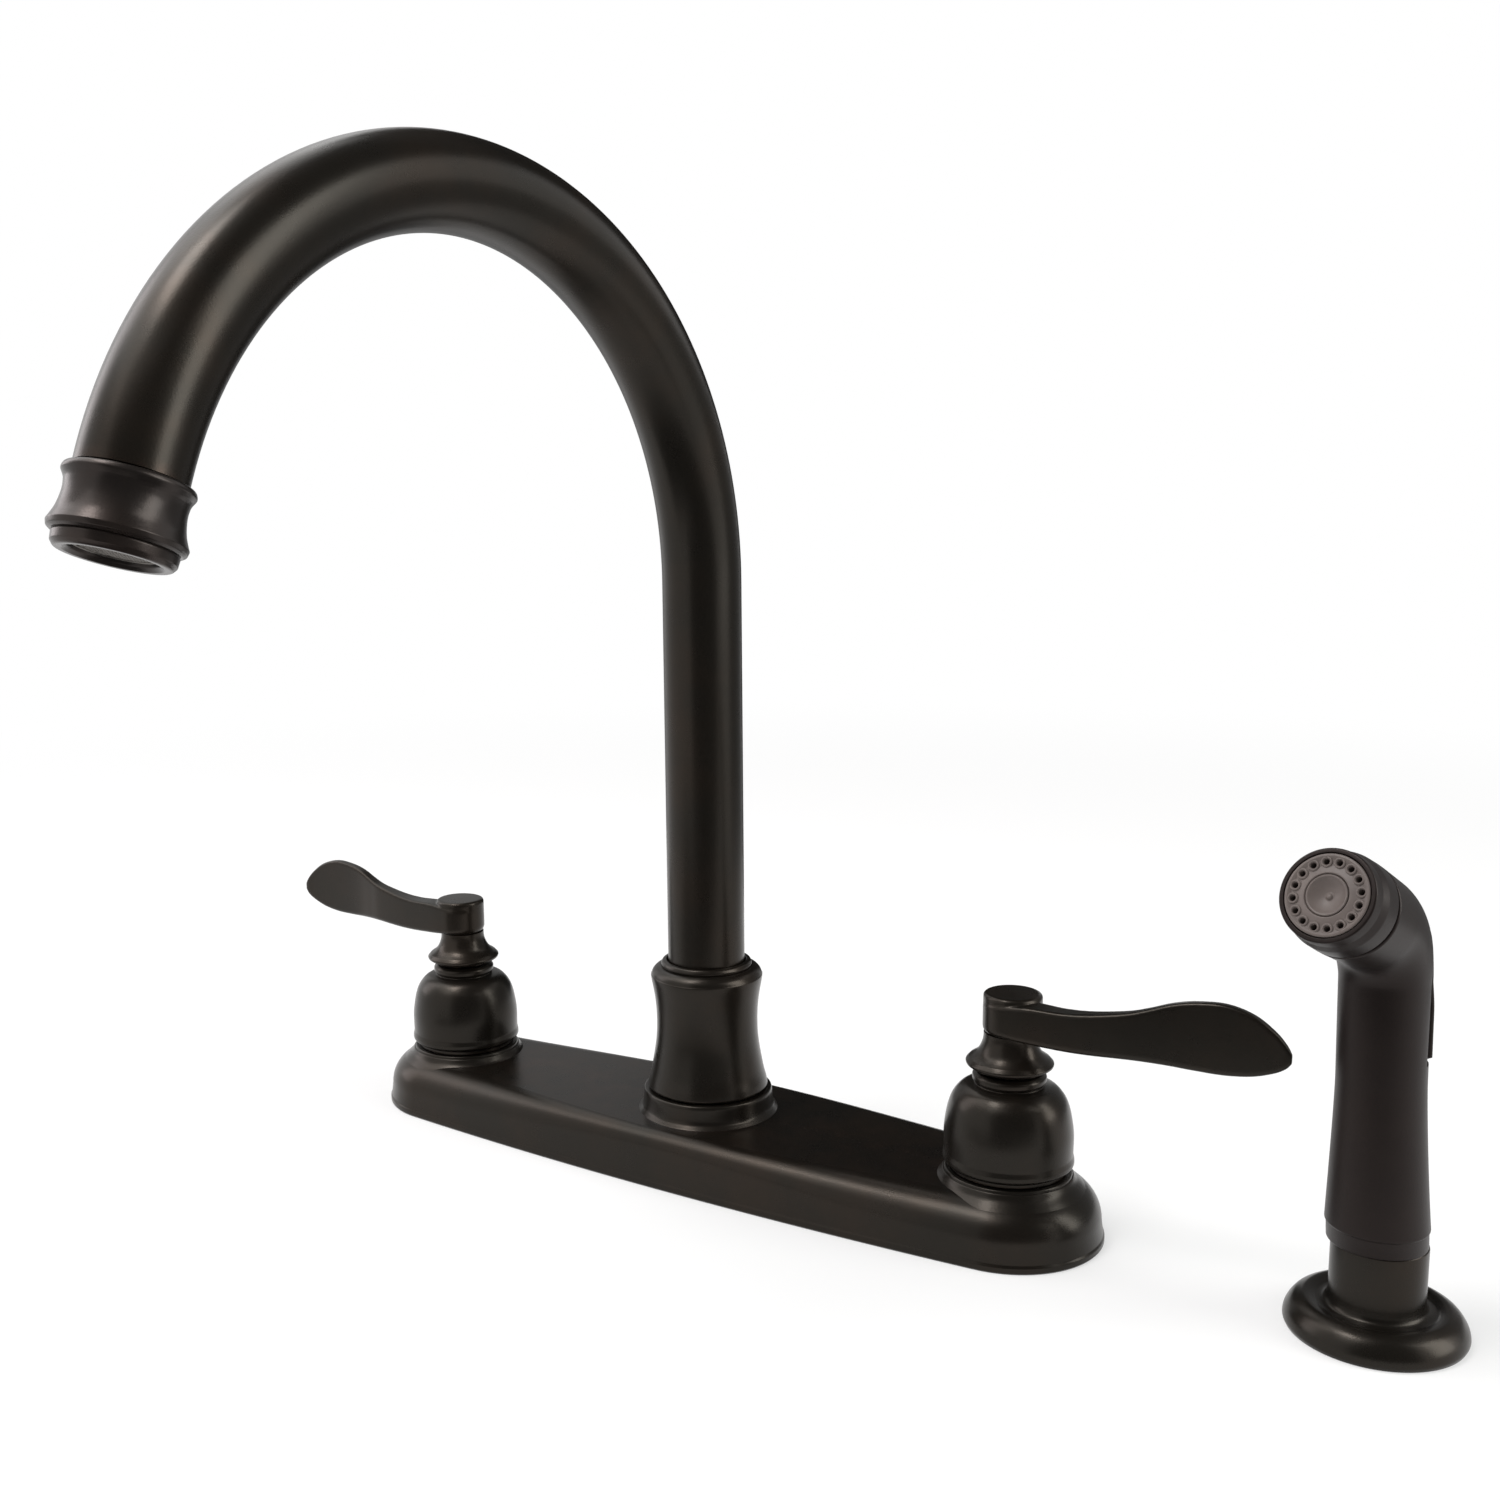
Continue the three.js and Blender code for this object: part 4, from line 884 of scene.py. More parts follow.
    @staticmethod
    def _thread(graph: Graph, entry: bpy.types.Node) -> bpy.types.NodeSocket:
        """A ridge wound up a shank."""
        spiral = graph.node(
            "GeometryNodeCurveSpiral",
            None,
            {
                "Resolution": 28,
                "Rotations": entry.outputs["Turns"],
                "Start Radius": entry.outputs["Radius"],
                "End Radius": entry.outputs["Radius"],
                "Height": entry.outputs["Length"],
            },
        )
        lift = graph.node("ShaderNodeCombineXYZ", None, {"Z": entry.outputs["Foot"]})
        placed = graph.node(
            "GeometryNodeSetPosition", None, {"Geometry": spiral.outputs[0], "Offset": lift.outputs[0]}
        )
        return GeometryKit._tube(graph, placed, 6, entry.outputs["Ridge"], True)

    @staticmethod
    def _round(graph: Graph, entry: bpy.types.Node) -> bpy.types.NodeSocket:
        """Copies of the source round a circle about the axis."""
        ring = graph.node(
            "GeometryNodeMeshCircle",
            None,
            {"Vertices": entry.outputs["Count"], "Radius": entry.outputs["Ring"]},
        )
        turn = graph.node("ShaderNodeCombineXYZ", None, {"Z": entry.outputs["Phase"]})
        turned = graph.node(
            "GeometryNodeTransform", None, {"Geometry": ring.outputs[0], "Rotation": turn.outputs[0]}
        )
        copies = graph.node(
            "GeometryNodeInstanceOnPoints",
            None,
            {"Points": turned.outputs[0], "Instance": entry.outputs["Geometry"]},
        )
        return copies.outputs[0]

    @staticmethod
    def _screen(graph: Graph, entry: bpy.types.Node) -> bpy.types.NodeSocket:
        """Crossed wires, trimmed to a disc."""
        side = Value(graph, entry.outputs["Reach"]) * 2.0
        grid = graph.node(
            "GeometryNodeMeshGrid",
            None,
            {
                "Size X": side,
                "Size Y": side,
                "Vertices X": entry.outputs["Lines"],
                "Vertices Y": entry.outputs["Lines"],
            },
        )
        place = graph.node("GeometryNodeInputPosition")
        away = graph.value("ShaderNodeVectorMath", {"operation": "LENGTH"}, {0: place.outputs[0]}, 1)
        outside = away - Value(graph, entry.outputs["Reach"])
        trimmed = graph.node(
            "GeometryNodeDeleteGeometry", {"domain": "POINT"}, {0: grid.outputs[0], 1: outside}
        )
        wires = graph.node("GeometryNodeMeshToCurve", None, {"Mesh": trimmed.outputs[0]})
        return GeometryKit._tube(graph, wires, 6, entry.outputs["Wire"], True)


def path_object(name: str, points: Sequence[Vector]) -> bpy.types.Object:
    """An object with one row of edges, for a tree that sweeps along it.

    Args:
        name: Its name.
        points: The row's points, in millimetres.

    Returns:
        The object.
    """
    mesh = bpy.data.meshes.new(name)
    mesh.from_pydata([p * MM for p in points], [(i, i + 1) for i in range(len(points) - 1)], [])
    made = bpy.data.objects.new(name, mesh)
    bpy.context.scene.collection.objects.link(made)
    return made


# ---------------------------------------------------------------------------------------------------
# Pieces and the bodies that they ride on
# ---------------------------------------------------------------------------------------------------


class Shop:
    """Dresses finished pieces and sets them on their bodies."""

    def __init__(self) -> None:
        """Starts with the geometry trees' kit."""
        self.kit = GeometryKit()

    def set(
        self, made: bpy.types.Object, finish: Finish, body: str, replaces: Sequence[str] = ()
    ) -> bpy.types.Object:
        """Gives a piece its finish and its body.

        Args:
            made: The piece.
            finish: What it is finished in.
            body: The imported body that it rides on.
            replaces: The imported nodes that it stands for.

        Returns:
            The piece.
        """
        made.data.materials.clear()
        made.data.materials.append(finish.material())
        if replaces:
            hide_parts(*replaces)
        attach(made, body)
        LOG.info("%s: %d faces, on %s", made.name, len(made.data.polygons), body)
        return made


@dataclass
class DeckPlate:
    """The long plate with its three bosses."""

    handle_x: float = 101.6
    end_radius: float = 27.2
    half_width: float = 31.0
    top: float = 17.0
    boss_top: float = 20.0
    hub_boss_top: float = 24.0
    lip: float = 0.9
    lip_height: float = 2.4
    wall: float = 2.4
    rim: float = 5.0
    end_rim: float = 10.4
    bell_boss: float = 18.1
    hub_boss: float = 20.4
    boss_slope: float = 4.0
    hub_hole: float = 16.4
    bell_hole: float = 13.9

    def outline(self, middle: tuple[float, float], ends: tuple[float, float]) -> Ring:
        """The plate's outline, drawn in.

        Args:
            middle: Inset and height along the middle.
            ends: Inset and height round the ends.

        Returns:
            Its points.
        """
        bulge = self.half_width - self.end_radius
        side = (self.handle_x**2 + self.half_width**2 - self.end_radius**2) / (2 * bulge)
        tangent = math.atan2(side - self.half_width, self.handle_x)
        half: Ring = []
        end_steps, side_steps = 40, 48
        reach = self.end_radius - ends[0]
        for i in range(end_steps + 1):
            a = blend(-tangent, tangent, i / end_steps)
            half.append(Vector((self.handle_x + reach * math.cos(a), reach * math.sin(a), ends[1])))
        for i in range(1, side_steps):
            a = blend(tangent, math.pi - tangent, i / side_steps)
            share = smoothstep(abs(side * math.cos(a)), 0, self.handle_x)
            out = side - blend(middle[0], ends[0], share)
            z = blend(middle[1], ends[1], share)
            half.append(Vector((out * math.cos(a), self.half_width - side + out * math.sin(a), z)))
        return half + [Vector((-p.x, -p.y, p.z)) for p in half]

    def skin(self, rim: float) -> Profile:
        """Insets and heights from the foot up to the flat top, for a width of the rim."""
        rise = self.top - rim
        corners = [
            (0.45, 0.0, 0.0), (0.0, 0.5, 0.4), (0.0, self.lip_height - 0.5, 0.7),
            (self.lip - 0.5, self.lip_height + 0.1, 0.7),
            (self.lip, max(rise, self.lip_height + 2.2), 0.0),
        ]
        wall = rounded(corners, 4)
        arc = [
            (self.lip + rim * (1 - math.cos(a)), rise + rim * math.sin(a))
            for a in (math.radians(90 * k / 14) for k in range(15))
        ]
        return wall + arc

    def inner(self, rim: float) -> Profile:
        """Insets and heights of the hollow underneath, from the roof down to the foot."""
        foot = self.lip + self.wall
        return [(self.lip + rim, self.top - self.wall), (foot, self.top - rim), (foot, 0.0)]

    def boss(self, radius: float, top: float) -> Profile:
        """The profile of a boss whose flank flows out into the plate and whose edge is soft."""
        foot = self.top - self.wall
        flank = flowing(
            [
                (radius + self.boss_slope + 2.6, self.top - 6.0),
                (radius + self.boss_slope + 1.0, self.top - 3.3),
                (radius + self.boss_slope * 0.72 + 0.1, self.top - 1.2),
                (radius + self.boss_slope * 0.3, self.top + 0.5),
                (radius + self.boss_slope * 0.06, self.top + 2.0), (radius - 0.05, top - 0.9),
            ],
            6,
        )
        edge = rounded([(radius - 0.05, top - 0.9, 0), (radius - 0.3, top, 0.9), (radius - 3.4, top, 0)], 7)
        return [*flank, *edge[1:], (radius - 4.2, top - 0.4), (radius - 4.2, foot)]

    def make(self, shop: Shop) -> None:
        """Builds the plate and dresses it."""
        middle = self.skin(self.rim) + self.inner(self.rim)
        ends = self.skin(self.end_rim) + self.inner(self.end_rim)
        blank = Blank()
        rings = [self.outline(a, b) for a, b in zip(middle, ends)]
        blank.loft([*rings, rings[0]], caps=False)
        plate = blank.piece("plate_shell")
        roof = Blank()
        top_ring = self.outline((self.lip + self.rim, self.top), (self.lip + self.end_rim, self.top))
        low_ring = [Vector((p.x, p.y, self.top - self.wall)) for p in top_ring]
        roof.loft([low_ring, top_ring])
        deck = roof.piece("plate_roof")
        places = ((0, self.hub_hole), (self.handle_x, self.bell_hole), (-self.handle_x, self.bell_hole))
        holes = [drilled("hole", r, -5, 40, Matrix.Translation((x, 0, 0)), 96) for x, r in places]
        carved(deck, holes)
        bosses = Blank()
        for x, radius, top in (
            (0.0, self.hub_boss, self.hub_boss_top), (self.handle_x, self.bell_boss, self.boss_top),
            (-self.handle_x, self.bell_boss, self.boss_top),
        ):
            boss = Blank().turn(self.boss(radius, top), ROUND_FACETS, loop=True)
            bosses.add(boss.place(Matrix.Translation((x, 0, 0))))
        raised = bosses.piece("plate_bosses")
        join_into(plate, [deck, raised])
        shop.set(plate, BRONZE, "base", ["deck_plate"])


def join_into(first: bpy.types.Object, others: Iterable[bpy.types.Object]) -> bpy.types.Object:
    """Joins objects at the origin into the first one's mesh.

    Args:
        first: The object that stays.
        others: The objects that are added to it and removed.

    Returns:
        The first object.
    """
    work = bmesh.new()
    work.from_mesh(first.data)
    for other in others:
        work.from_mesh(other.data)
        bpy.data.objects.remove(other)
    work.to_mesh(first.data)
    work.free()
    first.data.update()
    return first


@dataclass
class Hub:
    """The waisted hub round the spout's foot, with its cap ring."""

    foot: float = 24.3
    top: float = 63.7
    foot_radius: float = 19.1
    waist: float = 15.9
    flare: float = 17.5
    bore: float = 14.2
    tube: float = 12.4
    cap_radius: float = 14.3
    cap_height: float = 2.0

    def make(self, shop: Shop) -> None:
        """Builds the hub and its cap ring."""
        side = flowing(
            [
                (self.foot_radius - 0.15, self.foot + 0.9), (self.foot_radius - 0.5, self.foot + 2.6),
                (self.waist + 1.7, self.foot + 6.7), (self.waist + 0.3, self.foot + 15.3),
                (self.waist, self.foot + 22.4), (self.waist + 0.45, self.foot + 29.0),
                (self.flare - 0.02, self.top - 3.7), (self.flare - 0.12, self.top - 2.5),
                (self.flare - 0.65, self.top - 1.35), (self.flare - 1.6, self.top - 0.45),
                (self.flare - 2.5, self.top - 0.08), (self.flare - 3.1, self.top),
            ],
            7,
        )
        shoulder = rounded(
            [
                (self.flare - 3.1, self.top, 0), (self.tube, self.top, 0.2),
                (self.tube, self.foot + 20.3, 0), (self.bore, self.foot + 18.5, 0),
                (self.bore, self.foot, 0), (self.foot_radius - 0.9, self.foot, 0.2),
                (self.foot_radius - 0.35, self.foot + 0.35, 0.3),
                (self.foot_radius - 0.15, self.foot + 0.9, 0),
            ]
        )
        shop.set(lathed("hub_body", side + shoulder[1:-1]), BRONZE, "base", ["spout_hub"])
        low, high = self.top + 0.06, self.top + self.cap_height
        ring = rounded(
            [
                (self.tube, low, 0.1), (self.cap_radius - 0.15, low, 0.15),
                (self.cap_radius, low + 0.8, 0.7), (self.cap_radius - 0.55, high - 0.15, 0.8),
                (self.tube, high, 0.3),
            ],
            6,
            loop=True,
        )
        shop.set(lathed("hub_cap", ring, sharp=38.0), BRONZE, "base", ["hub_cap_ring"])


@dataclass
class Spout:
    """The gooseneck with its tip and aerator."""

    foot: float = 36.3
    radius: float = 12.0
    wall: float = 1.5
    bend_radius: float = 103.5
    bend: float = 160.6
    spring: float = 183.7
    turned: float = -2.6
    tip_length: float = 14.4
    aerator_rim: float = 17.8
    holes: int = 8
    hole: float = 1.0
    hole_ring: float = 6.1
    screen_rise: float = 15.9

    def path(self) -> list[Vector]:
        """The centre line, from the foot to the tip."""
        rise = self.spring - self.foot
        line = [Vector((0, 0, self.foot + rise * i / 12)) for i in range(12)]
        for i in range(97):
            a = math.radians(self.bend) * i / 96
            y = -self.bend_radius * (1 - math.cos(a))
            line.append(Vector((0, y, self.spring + self.bend_radius * math.sin(a))))
        return line

    @property
    def frame(self) -> Matrix:
        """The whole spout's turn at rest."""
        return Matrix.Rotation(math.radians(self.turned), 4, "Z")

    @property
    def tip_frame(self) -> Matrix:
        """The frame at the tube's end, with +Z along the water."""
        return self.frame @ Matrix.Translation(self.path()[-1]) @ Matrix.Rotation(
            math.radians(self.bend), 4, "X"
        )

    def make(self, shop: Shop) -> None:
        """Builds the gooseneck, the tip and what is in it."""
        line = [self.frame @ p for p in self.path()]
        sizes = {"Radius": self.radius * MM, "Facets": 96}
        tube = shop.kit.run(Kit.SWEEP, "neck_tube", sizes, BRONZE, path_object("neck_tube", line))
        wall = tube.modifiers.new("wall", "SOLIDIFY")
        wall.thickness = self.wall * MM
        wall.offset = -1
        wall.use_even_offset = True
        baked(tube)
        tidy_mesh(tube.data, 50, outward=False)
        shop.set(tube, BRONZE, "spout", ["gooseneck_tube"])
        self._tip(shop)

    def _tip(self, shop: Shop) -> None:
        """Builds the tip, the aerator's ring, its core and its screen."""
        r = self.radius
        flare = [
            (r + 0.95, 3.6), (r + 0.75, 5.2), (r + 0.85, 7.2), (r + 1.35, 9.8), (r + 2.2, 12.0),
        ]
        outside = rounded(
            [
                (r + 0.3, 0.3, 0), (r + 1.5, 0.45, 0.9), (r + 1.95, 1.7, 0.9), (r + 1.25, 2.9, 0.7),
                (r + 0.95, 3.6, 0),
            ],
            6,
        )
        lip = rounded(
            [
                (r + 2.2, 12.0, 0), (r + 2.58, 12.8, 0.4), (r + 2.3, 13.9, 0.6),
                (r + 1.5, self.tip_length + 0.05, 0.3), (11.5, self.tip_length, 0.1), (11.5, 7.2, 0),
                (8.1, 7.2, 0), (8.1, -6.0, 0.2), (9.6, -6.0, 0.2), (9.6, 0.3, 0), (r + 0.3, 0.3, 0),
            ],
            5,
        )
        profile = outside + flowing(flare, 6)[1:] + lip[1:-1]
        shop.set(lathed("tip_body", profile, self.tip_frame), BRONZE_TIP, "spout", ["spout_tip"])
        low, rim = self.tip_length + 0.06, self.aerator_rim
        ring = rounded(
            [
                (9.3, 7.8, 0), (11.2, 7.8, 0.2), (11.2, low, 0), (12.9, low - 0.15, 0.15),
                (13.1, low + 0.5, 0.5), (12.95, rim - 1.1, 0.8), (12.1, rim, 1.0),
                (10.5, rim - 0.05, 0.5), (9.5, rim - 0.9, 0.5), (9.3, rim - 2.0, 0.2),
            ],
            5,
            loop=True,
        )
        made = lathed("aerator_ring", ring, self.tip_frame, sharp=38.0)
        shop.set(made, BRONZE_TIP, "spout", ["aerator_housing"])
        around = (2 * math.pi * k / self.holes for k in range(self.holes))
        places = [self.hole_ring * Vector((math.sin(a), math.cos(a), 0)) for a in around]
        cutters = [
            drilled("hole", self.hole, 7, 17, self.tip_frame @ Matrix.Translation(place), 20)
            for place in places
        ]
        body = rounded([(0, 8.1, 0), (9.0, 8.1, 0.3), (9.0, 14.6, 0.4), (4.0, 14.8, 0.5), (0, 14.9, 0)])
        core = Blank().turn(body, 64).place(self.tip_frame).piece("aerator_core")
        shop.set(carved(core, cutters), FACE_PLASTIC, "spout", ["aerator_insert"])
        screen = shop.kit.run(
            Kit.SCREEN, "aerator_mesh", {"Reach": 8.75 * MM, "Lines": 17, "Wire": 0.22 * MM}, SCREEN_STEEL
        )
        rise = Matrix.Translation(Vector((0, 0, self.screen_rise * MM)))
        screen.data.transform(in_metres(self.tip_frame) @ rise)
        edge = rounded([(8.5, 15.3, 0.2), (9.0, 15.3, 0.2), (9.0, 16.3, 0.2), (8.5, 16.3, 0.2)], 3, loop=True)
        join_into(screen, [lathed("screen_hoop", edge, self.tip_frame, 64, 38.0)])
        shop.set(smoothed(screen), SCREEN_STEEL, "spout", ["aerator_screen"])


class Side(Enum):
    """Which side of the spout a valve stands on."""

    LEFT = -1
    RIGHT = 1


@dataclass
class Valve:
    """One handle valve: the bell, the collar over it and the lever."""

    side: Side
    handle_x: float = 101.6
    foot: float = 20.3
    bell_top: float = 48.6
    skirt_foot: float = 49.0
    skirt_top: float = 59.8
    drum_radius: float = 8.2
    drum_ahead: float = 0.6
    drum_foot: float = 60.1
    drum_top: float = 71.5
    screw_lift: float = 3.6
    screw_hole: float = 1.9
    stem_bore: float = 4.3
    stem_top: float = 66.9
    length: float = 76.2
    voxel: float = 0.27
    blade: tuple[tuple[float, float, float, float, float], ...] = (
        (0.008, 0.3, 9.5, -4.4, 8.7), (0.06, -0.1, 9.9, -4.5, 8.3), (0.12, -0.4, 10.2, -4.5, 7.7),
        (0.23, -0.8, 10.1, -4.4, 6.5), (0.33, -0.8, 10.8, -4.1, 5.6), (0.45, -0.5, 12.5, -3.4, 4.6),
        (0.52, -0.6, 14.1, -2.5, 4.1), (0.6, -0.9, 16.3, -1.4, 3.7), (0.68, -1.2, 17.6, -0.7, 3.4),
        (0.78, -1.2, 18.0, -0.2, 3.1), (0.87, -0.3, 16.2, 0.1, 2.9), (0.94, 1.5, 12.8, 0.1, 2.5),
        (0.98, 3.3, 9.8, -0.1, 2.0), (1.0, 5.1, 7.5, -0.3, 1.0),
    )

    @property
    def hand(self) -> str:
        """The side's name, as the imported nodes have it."""
        return self.side.name.lower()

    @property
    def frame(self) -> Matrix:
        """The place of the valve's axis."""
        return Matrix.Translation((self.side.value * self.handle_x, 0, 0))

    def bell(self) -> Profile:
        """The bell's profile."""
        f = self.foot
        foot = rounded(
            [
                (16.4, f, 0), (16.4, f + 1.0, 0.3), (17.6, f + 1.5, 0.5), (18.4, f + 2.2, 0.9),
                (18.38, f + 3.4, 1.6), (18.05, f + 4.8, 2.4), (18.08, f + 6.5, 0),
            ]
        )
        dome = flowing(
            [
                (18.08, f + 6.5), (18.1, f + 10.4), (17.75, f + 13.8), (17.0, f + 17.6),
                (15.9, f + 20.6), (14.1, f + 23.0), (12.3, f + 24.2), (10.6, f + 24.7),
            ],
            6,
        )
        neck = rounded(
            [
                (10.6, f + 24.7, 0), (9.8, f + 24.85, 0.3), (9.8, f + 25.2, 0.3),
                (10.35, f + 25.9, 0.7), (10.35, f + 27.3, 0.9), (9.3, self.bell_top, 0.6),
                (4.4, self.bell_top, 0), (4.4, 42.4, 0), (14.9, 35.7, 0), (14.9, f, 0), (16.4, f, 0),
            ]
        )
        return foot + dome[1:] + neck[1:-1]

    def collar(self) -> Profile:
        """The profile of the flared collar under the lever."""
        f = self.skirt_foot
        lip = rounded(
            [
                (4.3, f, 0), (9.0, f, 0.5), (10.7, f + 0.8, 0.8), (12.1, f + 1.7, 0.6),
                (12.3, f + 2.4, 0.5), (11.3, f + 3.5, 1.2), (10.2, f + 4.2, 0),
            ]
        )
        waist = flowing(
            [
                (10.2, f + 4.2), (9.1, f + 5.2), (8.3, f + 6.5), (7.65, f + 8.2), (7.4, f + 9.6),
                (7.35, self.skirt_top + 0.2),
            ],
            6,
        )
        return lip + waist[1:] + [(4.3, self.skirt_top + 0.2)]

    def section(self, low: float, high: float, middle: float, thickness: float) -> list[tuple[float, float]]:
        """An oblong across the blade, rounder below than above, as Y and Z above the drum's foot."""
        half_t, half_h = thickness / 2, (high - low) / 2
        points = []
        for quarter, (sy, sz) in enumerate(((1, 1), (-1, 1), (-1, -1), (1, -1))):
            corner = min(1.5 if sz < 0 else 0.9, 0.8 * half_t, half_h * 0.9)
            for k in range(7):
                a = math.radians(90 * quarter + 15 * k)
                y = sy * (half_t - corner) + corner * math.cos(a)
                z = sz * (half_h - corner) + corner * math.sin(a)
                points.append((middle + y, (low + high) / 2 + z))
        return points

    def wrap(self, share: float) -> Ring:
        """A section of the band that winds round the drum from its outer side and runs on as the blade."""
        turn = math.radians(blend(186, 270, share))
        reach = self.drum_radius - 0.02 + 0.57 * smoothstep(share, 0, 1)
        high = blend(8.4, 9.5, share)
        return [
            Vector(
                (
                    self.side.value * (self.drum_ahead - y * math.cos(turn)),
                    -y * math.sin(turn),
                    self.drum_foot + z,
                )
            )
            for y, z in self.section(0.3, high, -(reach + 2.5) / 2, reach - 2.5)
        ]

    def lever(self) -> bpy.types.Object:
        """The drum and the blade, grown together as one casting."""
        drum = rounded(
            [
                (0, self.drum_foot, 0), (self.drum_radius - 0.7, self.drum_foot, 0.4),
                (self.drum_radius, self.drum_foot + 1.6, 1.5), (self.drum_radius, self.drum_top, 1.1),
                (0, self.drum_top + 0.1, 0),
            ],
            6,
        )
        ahead = Matrix.Translation((self.side.value * self.drum_ahead, 0, 0))
        made = Blank().turn(drum, 96).place(ahead)
        rings = [self.wrap(step / 17) for step in range(17)]
        for out, low, high, middle, thickness in flowing(self.blade, 7):
            x = self.side.value * out * self.length
            rings.append(
                [Vector((x, y, self.drum_foot + z)) for y, z in self.section(low, high, middle, thickness)]
            )
        made.loft(rings)
        lever = made.place(self.frame).piece(f"{self.hand}_lever_casting")
        remesh = lever.modifiers.new("cast", "REMESH")
        remesh.mode = "VOXEL"
        remesh.voxel_size = self.voxel * MM
        remesh.use_smooth_shade = True
        soften = lever.modifiers.new("soften", "SMOOTH")
        soften.factor = 0.5
        soften.iterations = 8
        baked(lever)
        return lever

    def make(self, shop: Shop) -> None:
        """Builds the bell, the collar, the lever and its set screw."""
        bell = lathed(f"{self.hand}_bell", self.bell(), self.frame)
        shop.set(bell, BRONZE, "base", [f"{self.hand}_bonnet"])
        collar = lathed(f"{self.hand}_collar", self.collar(), self.frame, 96)
        body = f"{self.hand}_handle"
        shop.set(collar, BRONZE, body, [f"{self.hand}_lever_skirt"])
        lever = self.lever()
        bore = [
            drilled("bore", self.stem_bore, 50, self.stem_top, self.frame, 48),
            drilled("hole", self.screw_hole, 0, self.drum_radius + 1.0, self._screw_frame(), 32),
        ]
        shop.set(carved(lever, bore, 40), BRONZE, body, [f"{self.hand}_lever"])
        outside = [(0, 4.05, 0), (1.6, 4.05, 0.2), (1.6, 7.65, 0.25)]
        socket = [(0.95, 7.65, 0.1), (0.95, 6.5, 0), (0, 6.3, 0)]
        screw = rounded(outside + socket, 3)
        grub = Blank().turn(screw, 36).place(self._screw_frame()).piece(f"{self.hand}_grub_screw")
        shop.set(grub, DARK_STEEL, body, [f"{self.hand}_set_screw"])

    def _screw_frame(self) -> Matrix:
        """The set screw's frame, with +Z out of the back of the drum."""
        lift = Matrix.Translation((0, 0, self.drum_foot + self.screw_lift))
        return self.frame @ lift @ Matrix.Rotation(math.radians(-90), 4, "X")


@dataclass
class Holder:
    """The dished holder that the sprayer stands in."""

    x: float = 201.2
    y: float = -1.5
    height: float = 7.6
    radius: float = 22.0
    bore: float = 9.0
    collar: float = 11.5
    collar_top: float = 24.2
    shank: float = 12.0
    shank_foot: float = -30.0

    @property
    def frame(self) -> Matrix:
        """The place of the holder's axis."""
        return Matrix.Translation((self.x, self.y, 0))

    def make(self, shop: Shop) -> None:
        """Builds the holder with its thread."""
        h = self.height
        skirt = flowing(
            [
                (self.radius - 0.5, 0.15), (self.radius, h * 0.2), (self.radius - 0.55, h * 0.5),
                (self.radius - 2.2, h * 0.82), (self.radius - 4.3, h - 0.1), (self.radius - 5.6, h),
                (self.radius - 7.0, h - 0.45), (self.collar + 2.5, h - 0.85),
                (self.collar + 1.1, h - 0.6), (self.collar + 0.35, h + 0.1),
                (self.collar + 0.05, h + 1.2),
            ],
            6,
        )
        rest = rounded(
            [
                (self.collar + 0.05, h + 1.2, 0), (self.collar, h + 2.4, 0),
                (self.collar, self.collar_top - 0.1, 0.5), (self.bore, self.collar_top, 0.4),
                (self.bore, self.shank_foot, 0.4), (self.shank - 0.6, self.shank_foot, 0.5),
                (self.shank - 0.6, 1.5, 0), (self.radius - 3, 1.5, 0.1), (self.radius - 3, 0, 0.1),
                (self.radius - 0.9, 0, 0.3),
            ]
        )
        body = lathed("sprayer_stand", skirt + rest[1:], self.frame)
        thread = shop.kit.run(
            Kit.THREAD,
            "stand_thread",
            {
                "Radius": (self.shank - 0.45) * MM,
                "Length": 28 * MM,
                "Foot": -28.8 * MM,
                "Turns": 18.0,
                "Ridge": 0.5 * MM,
            },
            BRONZE,
        )
        thread.data.transform(in_metres(self.frame))
        shop.set(join_into(body, [thread]), BRONZE, "base", ["holder_body"])


